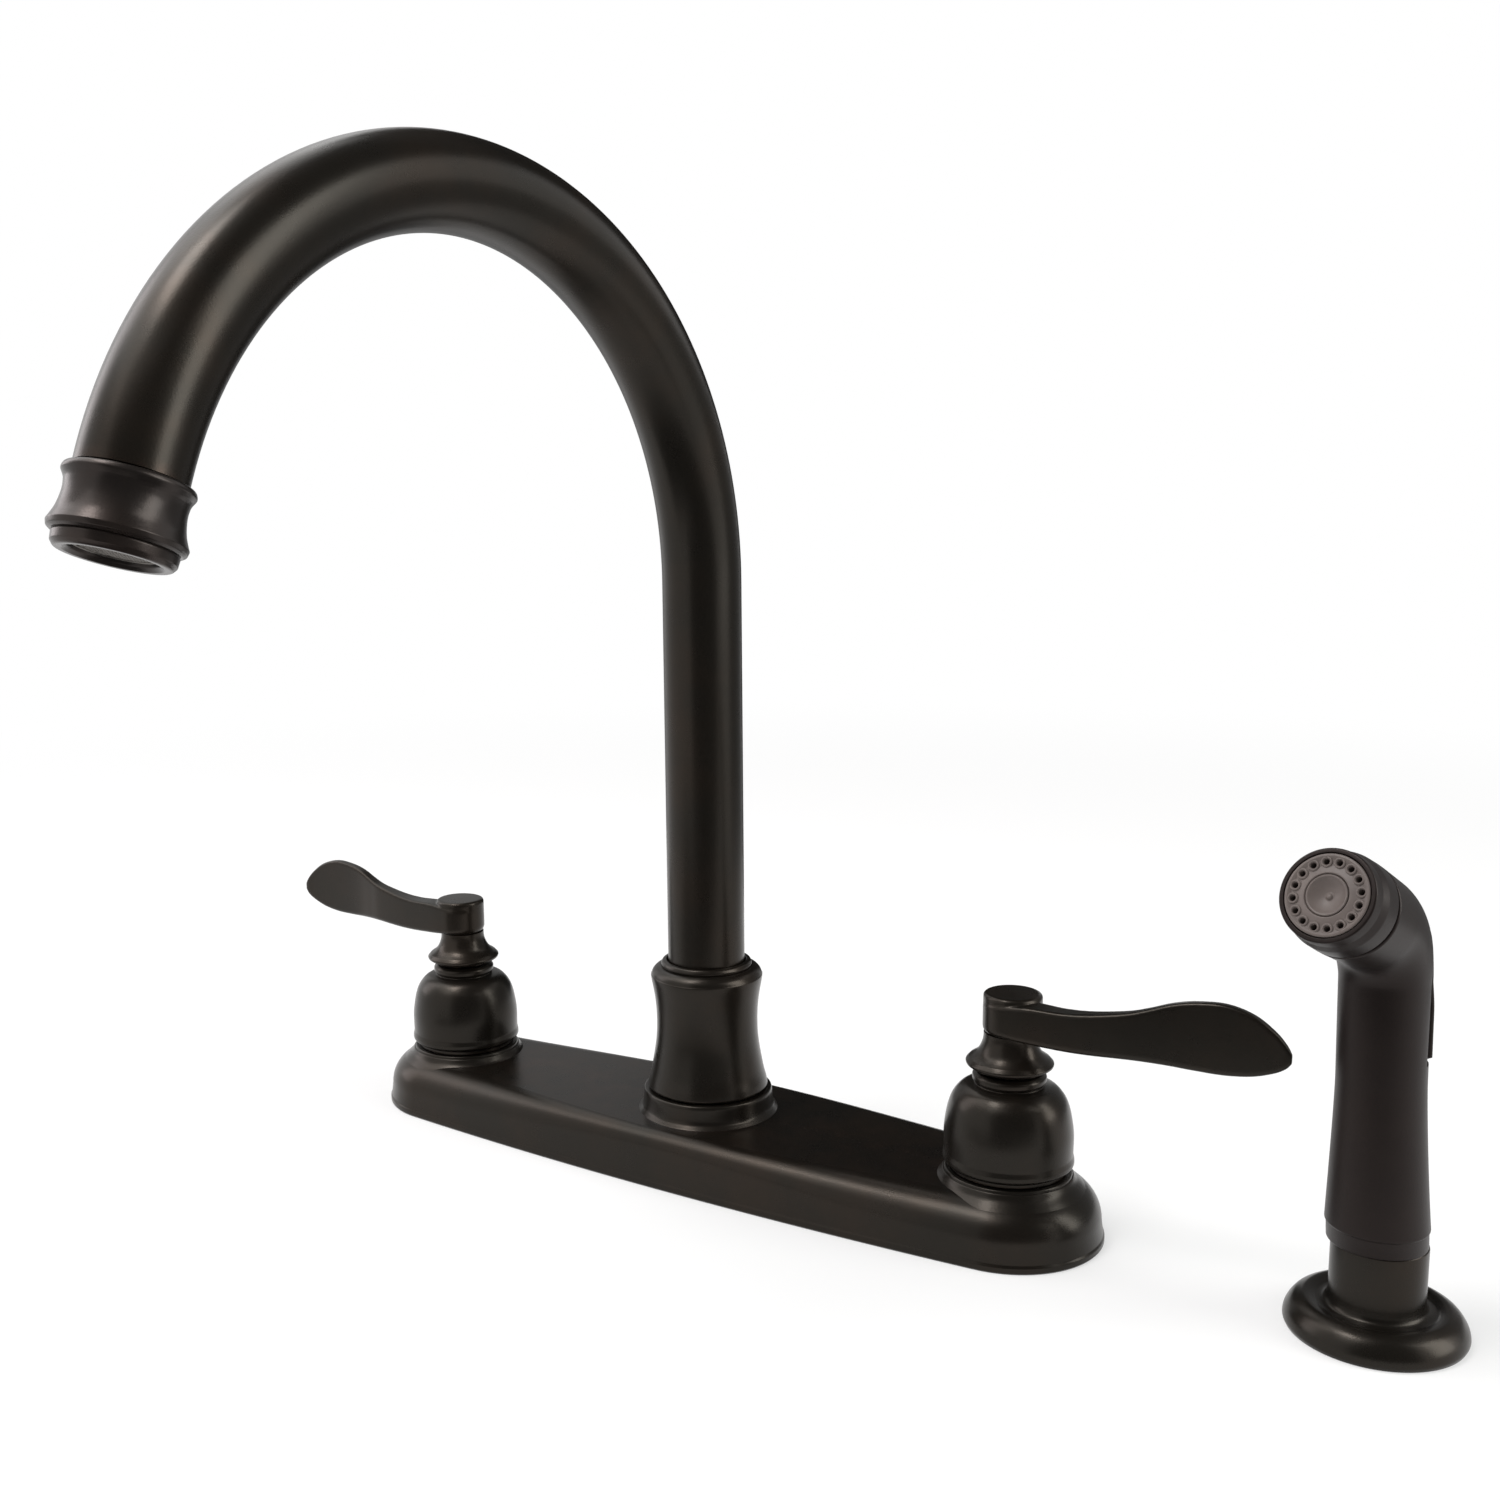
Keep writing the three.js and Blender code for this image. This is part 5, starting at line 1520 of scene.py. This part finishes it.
@dataclass
class Sprayer:
    """The side sprayer: grip, trigger, head and spray face."""

    x: float = 201.2
    y: float = -1.5
    turned: float = -13.5
    head_rise: float = 25.4
    foot: float = 24.5
    foot_radius: float = 12.6
    ferrule: float = 11.9
    ferrule_height: float = 4.9
    waist: float = 10.4
    height: float = 68.9
    lean: float = 6.0
    foot_lean: float = 1.6
    bend_radius: float = 18.0
    wall: float = 2.2
    head_radius: float = 12.1
    head_straight: float = 12.3
    nose_length: float = 11.6
    rim_radius: float = 11.2
    face_radius: float = 9.8
    button_radius: float = 4.9
    nozzle_ring: float = 7.88
    nozzles: int = 16
    nozzle: float = 0.72
    nozzle_phase: float = -7.4
    coupling_top: float = 38.5
    trigger_from: float = 49.2
    pin_angle: float = 52.0
    shoulder: float = 36.0
    swing: float = 4.0
    pin_out: float = 24.5
    neck_half: float = 6.2
    knuckle: float = 2.7
    proud: float = 0.8
    plate_depth: float = 2.2
    plate_wide: float = 64.5
    plate_narrow: float = 36.3
    plate_back: float = 4.5
    bore: float = 7.3
    gap: float = 0.28
    coils: int = 4
    wire: float = 0.35
    spring_radius: float = 2.15
    spring_height: float = 82.5
    spring_from: float = -4.02
    spring_to: float = -0.35
    pressed: float = 0.44

    @property
    def frame(self) -> Matrix:
        """The sprayer's frame, with its head along -Y."""
        return Matrix.Translation((self.x, self.y, 0)) @ Matrix.Rotation(math.radians(self.turned), 4, "Z")

    @property
    def bend(self) -> float:
        """How far the grip bends over, in radians."""
        return math.radians(90 - self.head_rise)

    @property
    def run(self) -> float:
        """The length of the centre line, from the foot to the head's groove."""
        return self.height + self.bend_radius * self.bend + self.head_straight

    def line(self, s: float) -> tuple[Vector, Vector, Vector, float]:
        """The sprayer's centre line.

        Args:
            s: Distance from the grip's foot along it.

        Returns:
            The point, the way ahead, the way to the back, and the grip's radius.
        """
        swell = self.foot_radius - self.waist
        if s <= self.height:
            rise = max(s, 0) / self.height
            y = -blend(self.foot_lean, self.lean, rise**0.75)
            radius = self.waist + swell * max(0.0, 1 - rise / 0.62) ** 1.3
            return Vector((0, y, self.foot + s)), Vector((0, 0, 1)), Vector((0, 1, 0)), radius
        head = self.head_radius - self.waist
        angle = min((s - self.height) / self.bend_radius, self.bend)
        back = Vector((0, math.cos(angle), math.sin(angle)))
        way = Vector((0, -math.sin(angle), math.cos(angle)))
        centre = Vector((0, -self.lean - self.bend_radius, self.foot + self.height))
        point = centre + back * self.bend_radius
        ahead = s - self.height - self.bend_radius * self.bend
        if ahead <= 0:
            return point, way, back, self.waist + head * 0.75 * angle / self.bend
        radius = self.waist + head * (0.75 + 0.25 * ahead / self.head_straight)
        return point + way * ahead, way, back, radius

    def hoop(self, s: float, inset: float, facets: int = 96) -> Ring:
        """A ring of the grip's skin, drawn in."""
        point, _, back, radius = self.line(s)
        across = Vector((1, 0, 0))
        turns = (2 * math.pi * k / facets for k in range(facets))
        return [point + ((across * math.cos(a) + back * math.sin(a)) * (radius - inset)) for a in turns]

    def swung(self, s: float) -> float:
        """How far the squeezed trigger comes forward at a place along the grip."""
        pin_height = self.foot + self.height + self.pin_out * math.sin(math.radians(self.pin_angle))
        return max(0.0, pin_height - self.line(s)[0].z) * math.sin(math.radians(self.swing))

    @property
    def trigger_to(self) -> float:
        """Where along the line the trigger ends, at its pin."""
        return self.height + self.bend_radius * math.radians(self.pin_angle)

    def patch(
        self,
        start: float,
        end: float,
        reach: Callable[[float], float],
        low: Callable[[float], float],
        high: Callable[[float], float],
        soft: float,
        rows: int = 64,
    ) -> Blank:
        """A plate that follows the back of the grip.

        Args:
            start: Where along the line it starts.
            end: Where it ends.
            reach: Its half angle round the back, in radians, at a place along the line.
            low: Its inner radius there.
            high: Its outer radius there.
            soft: Radius of its rounded edges.
            rows: Rings along it.

        Returns:
            The blank.
        """
        rings = []
        for i in range(rows + 1):
            share = i / rows
            s = blend(start, end, share)
            point, _, back, _ = self.line(s)
            close = min(s - start, end - s)
            draw = soft - math.sqrt(max(soft**2 - max(soft - close, 0) ** 2, 0)) if soft else 0.0
            inner, outer = low(s) + draw, high(s) - draw
            half = reach(s) - draw / outer
            corner = min(max(soft, 0.02), (outer - inner) * 0.45)
            ring = []
            for quarter, (sa, sr) in enumerate(((1, 1), (-1, 1), (-1, -1), (1, -1))):
                for k in range(5):
                    a = math.radians(90 * quarter + 22.5 * k)
                    r = (outer - corner if sr > 0 else inner + corner) + corner * math.sin(a)
                    phi = sa * (half - corner / outer) + corner * math.cos(a) / outer
                    ring.append((phi, r))
                if quarter in (0, 2):
                    sign = 1 if quarter == 0 else -1
                    r = outer if quarter == 0 else inner
                    for k in range(1, 24):
                        ring.append((sign * blend(half - corner / outer, -half + corner / outer, k / 24), r))
            across = Vector((1, 0, 0))
            rings.append(
                [point + across * (r * math.sin(a)) + back * (r * math.cos(a)) for a, r in ring]
            )
        made = Blank().loft(rings, caps=False)
        count = len(rings[0])
        # A fan from the middle of such a bent ring would leave the plate, so each end is one plain face.
        made.faces.append(tuple(range(count)))
        made.faces.append(tuple(range(rows * count, (rows + 1) * count)))
        return made

    def grip(self, shop: Shop) -> None:
        """Builds the hollow grip with its window for the trigger."""
        rows = [self.run * i / 110 for i in range(111)]
        low = self.ferrule_height
        ferrule = ((0.0, 0.4), (0.12, 0.12), (0.4, 0.0), (low - 0.35, 0.0), (low - 0.12, -0.1))
        outside = [self.hoop(s, self.line(s)[3] - self.ferrule + inset) for s, inset in ferrule]
        outside += [self.hoop(low, 0.2), self.hoop(low + 0.15, 0.05), self.hoop(low + 0.4, 0.0)]
        outside += [self.hoop(s, 0.0) for s in rows[1:-1] if s > low + 0.6]
        outside += [self.hoop(self.run - 0.5, 0.0), self.hoop(self.run - 0.1, 0.3), self.hoop(self.run, 0.7)]
        inside = [self.hoop(s, self.wall) for s in reversed(rows) if s > self.coupling_top - self.foot]
        seat = self.coupling_top - self.foot
        bore = [
            [Vector((self.bore * p.x, self.bore * p.y, self.foot + z)) for p in circle(1, 96)]
            for z in (seat, 0.0)
        ]
        blank = Blank().loft([*outside, *inside, *bore, outside[0]], caps=False)
        grip = blank.place(self.frame).piece("sprayer_handle", 45)
        narrow = math.asin((self.neck_half + self.gap) / self.waist)
        top = self.height + self.bend_radius * math.radians(self.shoulder)

        def reach(s: float) -> float:
            """Half angle of the window."""
            wide = math.acos(max(-0.2, (self.plate_back - self.gap - self.swung(s)) / self.waist))
            return blend(wide, narrow, smoothstep(s, top - 0.4, top + 1.6))

        window = self.patch(
            self.trigger_from - 0.9, self.trigger_to + 0.9, reach, lambda s: 5.2, lambda s: 15.0, 0.0, 80
        )
        cutter = window.place(self.frame).piece("window")
        carved(grip, [cutter], 45)
        shop.set(grip, SPRAY_PLASTIC, "sprayer", ["sprayer_grip"])

    def squeeze(self, shop: Shop) -> None:
        """Builds the trigger plate with its knuckle."""
        top = self.height + self.bend_radius * math.radians(self.shoulder)

        def reach(s: float) -> float:
            """Half angle of the plate."""
            narrowed = smoothstep(s, top - 1.6, top + 0.6)
            return blend(math.radians(self.plate_wide), math.radians(self.plate_narrow), narrowed)

        def high(s: float) -> float:
            """Outer radius, which sinks to the grip's own towards the pin."""
            proud = blend(self.proud, 0.02, smoothstep(s, self.height - 8, self.height + 6))
            return self.line(s)[3] + proud

        def low(s: float) -> float:
            """Inner radius, clear of the valve."""
            return self.line(s)[3] - self.plate_depth

        plate = self.patch(self.trigger_from, self.trigger_to + 0.2, reach, low, high, 0.7)
        plate.add(self._pin(self.knuckle, self.neck_half, 48))
        shop.set(
            plate.place(self.frame).piece("squeeze_plate", 45), SPRAY_PLASTIC, "trigger", ["trigger"]
        )

    def _pin(self, radius: float, reach: float, facets: int) -> Blank:
        """A rod with soft ends about the trigger's pin."""
        a = math.radians(self.pin_angle)
        centre = Vector((0, -self.lean - self.bend_radius, self.foot + self.height))
        middle = centre + Vector((0, math.cos(a), math.sin(a))) * self.pin_out
        body = rounded([(0, -reach, 0), (radius, -reach, 0.3), (radius, reach, 0.3), (0, reach, 0)], 3)
        turn = Matrix.Translation(middle) @ Matrix.Rotation(math.radians(90), 4, "Y")
        return Blank().turn(body, facets).place(turn)

    @property
    def nose_frame(self) -> Matrix:
        """The frame at the head's groove, with +Z along the spray."""
        groove = self.line(self.run)[0]
        return self.frame @ Matrix.Translation(groove) @ Matrix.Rotation(self.bend, 4, "X")

    def head(self, shop: Shop) -> None:
        """Builds the nose, the spray face with its nozzles and the button in its middle."""
        n = self.nose_length
        nose = rounded(
            [
                (5.2, 0.3, 0), (self.head_radius - 0.7, 0.3, 0.3), (self.head_radius, 1.0, 0.5),
                (self.head_radius - 0.1, n * 0.5, 2.5), (self.rim_radius + 0.15, n * 0.7, 2.0),
                (self.rim_radius, n - 0.35, 0.45), (self.face_radius + 0.25, n - 0.3, 0.15),
                (self.face_radius + 0.25, n - 3.6, 0), (5.2, n - 3.6, 0),
            ],
            5,
            loop=True,
        )
        shop.set(lathed("spray_nose", nose, self.nose_frame), SPRAY_PLASTIC, "sprayer", ["sprayer_nose"])
        face = rounded(
            [
                (5.02, n - 3.3, 0), (self.face_radius, n - 3.3, 0.1), (self.face_radius, n - 0.15, 0.3),
                (9.2, n - 0.05, 0.3), (8.4, n - 0.5, 0.5), (7.0, n - 0.55, 0.6), (6.0, n - 0.3, 0.8),
                (5.25, n - 0.12, 0.25), (5.02, n - 0.45, 0.1),
            ],
            5,
            loop=True,
        )
        plate = lathed("spray_plate", face)
        phase = math.radians(self.nozzle_phase + 90)
        hole = drilled("hole", self.nozzle, n - 6, n + 2, Matrix.Identity(4), 20)
        ring = {"Ring": self.nozzle_ring * MM, "Count": self.nozzles, "Phase": phase}
        holes = shop.kit.run(Kit.ROUND, "hole", ring, FACE_PLASTIC, hole)
        carved(plate, [holes], 50)
        boss = rounded(
            [
                (self.nozzle, n - 1.6, 0), (1.6, n - 1.6, 0), (1.35, n - 0.25, 0.35),
                (1.0, n - 0.12, 0.15), (self.nozzle, n - 0.4, 0.15),
            ],
            3,
            loop=True,
        )
        teat = lathed("spray_bosses", boss, facets=28)
        bosses = shop.kit.run(Kit.ROUND, "spray_bosses", ring, FACE_PLASTIC, teat)
        join_into(plate, [bosses])
        plate.data.transform(in_metres(self.nose_frame))
        shop.set(smoothed(plate), FACE_PLASTIC, "sprayer", ["spray_face"])
        b = self.button_radius
        dish = rounded(
            [
                (0, 0.3, 0), (b, 0.3, 0), (b, n - 0.3, 0.2), (b - 0.2, n - 0.08, 0.15),
                (b - 0.5, n - 0.14, 0),
            ]
        ) + flowing(
            [
                (b - 0.5, n - 0.14), (b * 0.72, n - 0.85), (b * 0.48, n - 1.5), (b * 0.28, n - 1.85),
                (0.9, n - 1.9), (0.5, n - 1.6), (0, n - 1.45),
            ],
            5,
        )[1:]
        button = Blank().turn(dish, 96).place(self.nose_frame).piece("spray_button", 50)
        shop.set(button, FACE_PLASTIC, "sprayer", ["face_screw"])

    def make(self, shop: Shop) -> None:
        """Builds the whole sprayer."""
        self.grip(shop)
        self.squeeze(shop)
        self.head(shop)
        pin = self._pin(1.0, 7.4, 32).place(self.frame).piece("squeeze_pin")
        shop.set(pin, DARK_STEEL, "sprayer", ["trigger_pin"])
        self.spring(shop)

    def spring(self, shop: Shop) -> None:
        """Winds the plunger's return spring, at the length it has at rest."""
        steps = 32 * self.coils
        rise = self.spring_to - self.spring_from
        coil = []
        for i in range(steps + 1):
            angle = 2 * math.pi * self.coils * i / steps
            middle = Vector((0, self.spring_from + rise * i / steps, self.spring_height))
            side = Vector((math.cos(angle), 0, math.sin(angle))) * self.spring_radius
            coil.append(self.frame @ (middle + side))
        sizes = {"Radius": self.wire * MM, "Facets": 12, "Caps": 1}
        source = path_object("return_spring", coil)
        wire = shop.kit.run(Kit.SWEEP, "return_spring", sizes, DARK_STEEL, source)
        shop.set(wire, DARK_STEEL, "sprayer", ["plunger_spring"])
        fixed = self.frame @ Vector((0, self.spring_from - self.wire, self.spring_height)) * MM
        press = self.frame.to_3x3() @ Vector((0, -1, 0))
        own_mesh(wire)


@dataclass
class UnderDeck:
    """The threaded supply shanks under the deck."""

    handle_x: float = 101.6
    shank: float = 10.4
    shank_foot: float = -52.0
    bore: float = 6.5

    def make(self, shop: Shop) -> None:
        """Builds the threaded shanks."""
        for side in Side:
            hand = side.name.lower()
            frame = Matrix.Translation((side.value * self.handle_x, 0, 0))
            shank = rounded(
                [
                    (self.bore, self.shank_foot, 0.4), (self.shank - 0.8, self.shank_foot, 0.6),
                    (self.shank - 0.8, -1.0, 0), (self.shank - 0.1, -0.6, 0.1),
                    (self.shank - 0.1, 0.2, 0.1), (self.bore, 0.2, 0.1),
                ],
                4,
                loop=True,
            )
            pipe = lathed(f"{hand}_shank", shank, frame, 96, 38.0)
            thread = shop.kit.run(
                Kit.THREAD,
                f"{hand}_thread",
                {
                    "Radius": (self.shank - 0.62) * MM,
                    "Length": 48.5 * MM,
                    "Foot": (self.shank_foot + 1.5) * MM,
                    "Turns": 27.0,
                    "Ridge": 0.6 * MM,
                },
                BRASS,
            )
            thread.data.transform(in_metres(frame))
            shop.set(join_into(pipe, [thread]), BRASS, "base", [f"{hand}_supply_shank"])


# ---------------------------------------------------------------------------------------------------
# Stage
# ---------------------------------------------------------------------------------------------------


def panel(name: str, half_width: float, half_height: float) -> bpy.types.Object:
    """A flat panel about the origin, facing +Z, with its half sizes in millimetres."""
    blank = Blank()
    corners = ((-1, -1), (1, -1), (1, 1), (-1, 1))
    blank.points = [Vector((x * half_width, y * half_height, 0)) for x, y in corners]
    blank.faces = [(0, 1, 2, 3)]
    return blank.piece(name)


def stage_material(made: bpy.types.Object) -> Graph:
    """Gives a stage object an empty material of its own name, and returns the graph to fill."""
    material = bpy.data.materials.new(made.name)
    material.use_nodes = True
    material.node_tree.nodes.clear()
    made.data.materials.append(material)
    return Graph(material.node_tree)


def shown_rays(graph: Graph) -> Value:
    """1 for rays that the camera, a reflection or a clear body sends out, and 0 for matt light."""
    rays = graph.node("ShaderNodeLightPath")
    kinds = ("Is Camera Ray", "Is Glossy Ray", "Is Transmission Ray")
    seen, glossy, through = (Value(graph, rays.outputs[kind]) for kind in kinds)
    return graph.math("MINIMUM", seen + glossy + through, 1.0)


@dataclass(frozen=True)
class Card:
    """A panel of the studio, placed by where it stands as seen from the object."""

    name: str
    azimuth: float
    elevation: float
    distance: float
    width: float
    height: float
    power: float = 0.0
    colour: tuple[float, float, float] = (1.0, 1.0, 1.0)
    shade: float = 0.02
    slide: tuple[float, float] = (0.0, 0.0)

    def place(self, target: Vector) -> Matrix:
        """The panel's matrix, facing the target."""
        a, e = math.radians(self.azimuth), math.radians(self.elevation)
        way = Vector((math.cos(a) * math.cos(e), math.sin(a) * math.cos(e), math.sin(e)))
        turn = way.to_track_quat("Z", "Y").to_matrix().to_4x4()
        return Matrix.Translation(target + way * self.distance + Vector((*self.slide, 0))) @ turn


@dataclass
class Studio:
    """The floor, the world, the lamps and the camera at the photo's viewing angle."""

    eye: tuple[float, float, float] = (0.28007, -0.42947, 0.21740)
    yaw: float = 125.248
    pitch: float = -9.929
    roll: float = -1.08
    focal: float = 1686.27
    image: float = 1500.0
    middle: tuple[float, float] = (642.03, 765.07)
    lamps: tuple[Card, ...] = (
        Card("key_softbox", 240, 68, 1.2, 0.42, 0.42, 6.5, (1.0, 0.97, 0.96)),
        Card("sky_softbox", 225, 56, 1.6, 1.3, 0.8, 6.5),
        Card("back_softbox", 165, 54, 1.6, 1.2, 0.7, 3.0),
        Card("left_softbox", 190, 24, 1.5, 0.6, 1.0, 4.5, (1.0, 0.94, 0.96)),
        Card("right_softbox", 14, 24, 1.6, 0.8, 1.2, 15.0, (0.98, 1.0, 0.97)),
    )
    flags: tuple[Card, ...] = (
        Card("front_flag", 308, 4, 0.42, 0.74, 0.8, shade=0.12),
        Card("back_flag", 104, 38, 1.3, 1.1, 1.2),
        Card("back_dark_flag", 110.4, 6, 0.373, 0.2, 0.32, shade=0.03),
        Card("back_low_flag", 60.9, 6, 0.4, 0.46, 0.32, shade=0.28),
        Card("back_left_flag", 135, 4.6, 0.495, 0.32, 0.32, shade=0.4),
        Card("top_flag", 15, 76, 0.9, 1.3, 0.8, shade=0.1),
        Card("low_flag", 270, -89.9, 0.108, 0.7, 0.26, shade=0.05, slide=(0.12, -0.25)),
    )
    target: tuple[float, float, float] = (0.03, -0.04, 0.11)
    matt_light: float = 0.45
    floor_half: float = 6000.0
    floor_white: float = 0.5
    floor_fade: tuple[float, float] = (0.3, 1.1)

    def make(self) -> None:
        """Builds the stage."""
        self._camera()
        self._world()
        self._floor()
        for card in self.lamps:
            self._lamp(card)
        for card in self.flags:
            self._flag(card)

    def _camera(self) -> None:
        """Sets the camera as it was fitted to the photo."""
        yaw, pitch, roll = map(math.radians, (self.yaw, self.pitch, self.roll))
        ahead = Vector((math.cos(yaw) * math.cos(pitch), math.sin(yaw) * math.cos(pitch), math.sin(pitch)))
        level = ahead.cross(Vector((0, 0, 1))).normalized()
        upright = level.cross(ahead)
        right = level * math.cos(roll) + upright * math.sin(roll)
        up = upright * math.cos(roll) - level * math.sin(roll)
        data = bpy.data.cameras.new("camera")
        data.sensor_width = 36.0
        data.lens = self.focal / self.image * data.sensor_width
        data.shift_x = (self.image / 2 - self.middle[0]) / self.image
        data.shift_y = (self.middle[1] - self.image / 2) / self.image
        data.clip_start, data.clip_end = 0.01, 50.0
        camera = bpy.data.objects.new("camera", data)
        bpy.context.scene.collection.objects.link(camera)
        turn = Matrix((right, up, -ahead)).transposed().to_4x4()
        camera.matrix_world = Matrix.Translation(self.eye) @ turn
        bpy.context.scene.camera = camera

    def _world(self) -> None:
        """A white surround for the camera and for reflections, and a softer one for matt light."""
        world = bpy.data.worlds.new("surround")
        bpy.context.scene.world = world
        world.use_nodes = True
        world.node_tree.nodes.clear()
        graph = Graph(world.node_tree)
        strength = self.matt_light + shown_rays(graph) * (1.0 - self.matt_light)
        backdrop = graph.node("ShaderNodeBackground", None, {"Color": (1, 1, 1, 1), "Strength": strength})
        graph.node("ShaderNodeOutputWorld", None, {"Surface": backdrop.outputs[0]})

    def _floor(self) -> None:
        """A plain pale floor."""
        floor = panel("floor", self.floor_half, self.floor_half)
        graph = stage_material(floor)
        away = graph.value("ShaderNodeTexCoord", None, None, "Object")
        distance = graph.value("ShaderNodeVectorMath", {"operation": "LENGTH"}, {0: away}, 1)
        plain = graph.node("ShaderNodeBsdfDiffuse", None, {"Color": (0.9, 0.9, 0.9, 1)})
        white = graph.node("ShaderNodeEmission", None, {"Color": (1, 1, 1, 1), "Strength": 1.0})
        faded = self.floor_white + distance.step(*self.floor_fade) * (1.0 - self.floor_white)
        share = shown_rays(graph) * faded
        mixed = graph.node("ShaderNodeMixShader", None, {0: share, 1: plain.outputs[0], 2: white.outputs[0]})
        graph.node("ShaderNodeOutputMaterial", None, {"Surface": mixed.outputs[0]})
        floor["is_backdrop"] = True

    def _lamp(self, card: Card) -> None:
        """A softbox."""
        data = bpy.data.lights.new(card.name, "AREA")
        data.shape = "RECTANGLE"
        data.size, data.size_y = card.width, card.height
        data.energy = card.power
        data.color = card.colour
        lamp = bpy.data.objects.new(card.name, data)
        bpy.context.scene.collection.objects.link(lamp)
        lamp.matrix_world = card.place(Vector(self.target))

    def _flag(self, card: Card) -> None:
        """A dark panel that only reflections show."""
        flag = panel(card.name, card.width / 2 / MM, card.height / 2 / MM)
        flag.data.transform(card.place(Vector(self.target)))
        graph = stage_material(flag)
        shade = (card.shade, card.shade, card.shade, 1)
        dark = graph.node("ShaderNodeEmission", None, {"Color": shade, "Strength": 1.0})
        graph.node("ShaderNodeOutputMaterial", None, {"Surface": dark.outputs[0]})
        flag.visible_camera = False
        flag.visible_diffuse = False
        flag.visible_shadow = False
        flag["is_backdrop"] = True


def dress_nodes(nodes: dict[str, bpy.types.Object], record: dict) -> None:
    """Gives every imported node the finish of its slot.

    Args:
        nodes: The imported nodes' objects, by name.
        record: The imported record.
    """
    slots = {part["node"]: part["material_slot"] for part in record["subparts"]}
    for name, node in nodes.items():
        finish = BY_SLOT[slots[name]]
        if not node.material_slots:
            node.data.materials.append(finish.material())
        for holder in node.material_slots:
            holder.material = finish.material()
        LOG.info("%s: %s", name, finish.name)


def corners() -> list[list[float]]:
    """The shown object's box as plain numbers."""
    return [list(corner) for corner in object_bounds()]


def main() -> None:
    """Builds the scene in order."""
    logging.basicConfig(level=logging.INFO, format="%(name)s: %(message)s")
    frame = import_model()
    scene = bpy.context.scene
    scene.view_settings.view_transform = "Standard"
    Studio().make()
    dress_nodes(frame["nodes"], frame["record"])
    shop = Shop()
    DeckPlate().make(shop)
    Hub().make(shop)
    Spout().make(shop)
    for side in Side:
        Valve(side).make(shop)
    Holder().make(shop)
    Sprayer().make(shop)
    UnderDeck().make(shop)


if __name__ == "__main__":
    main()
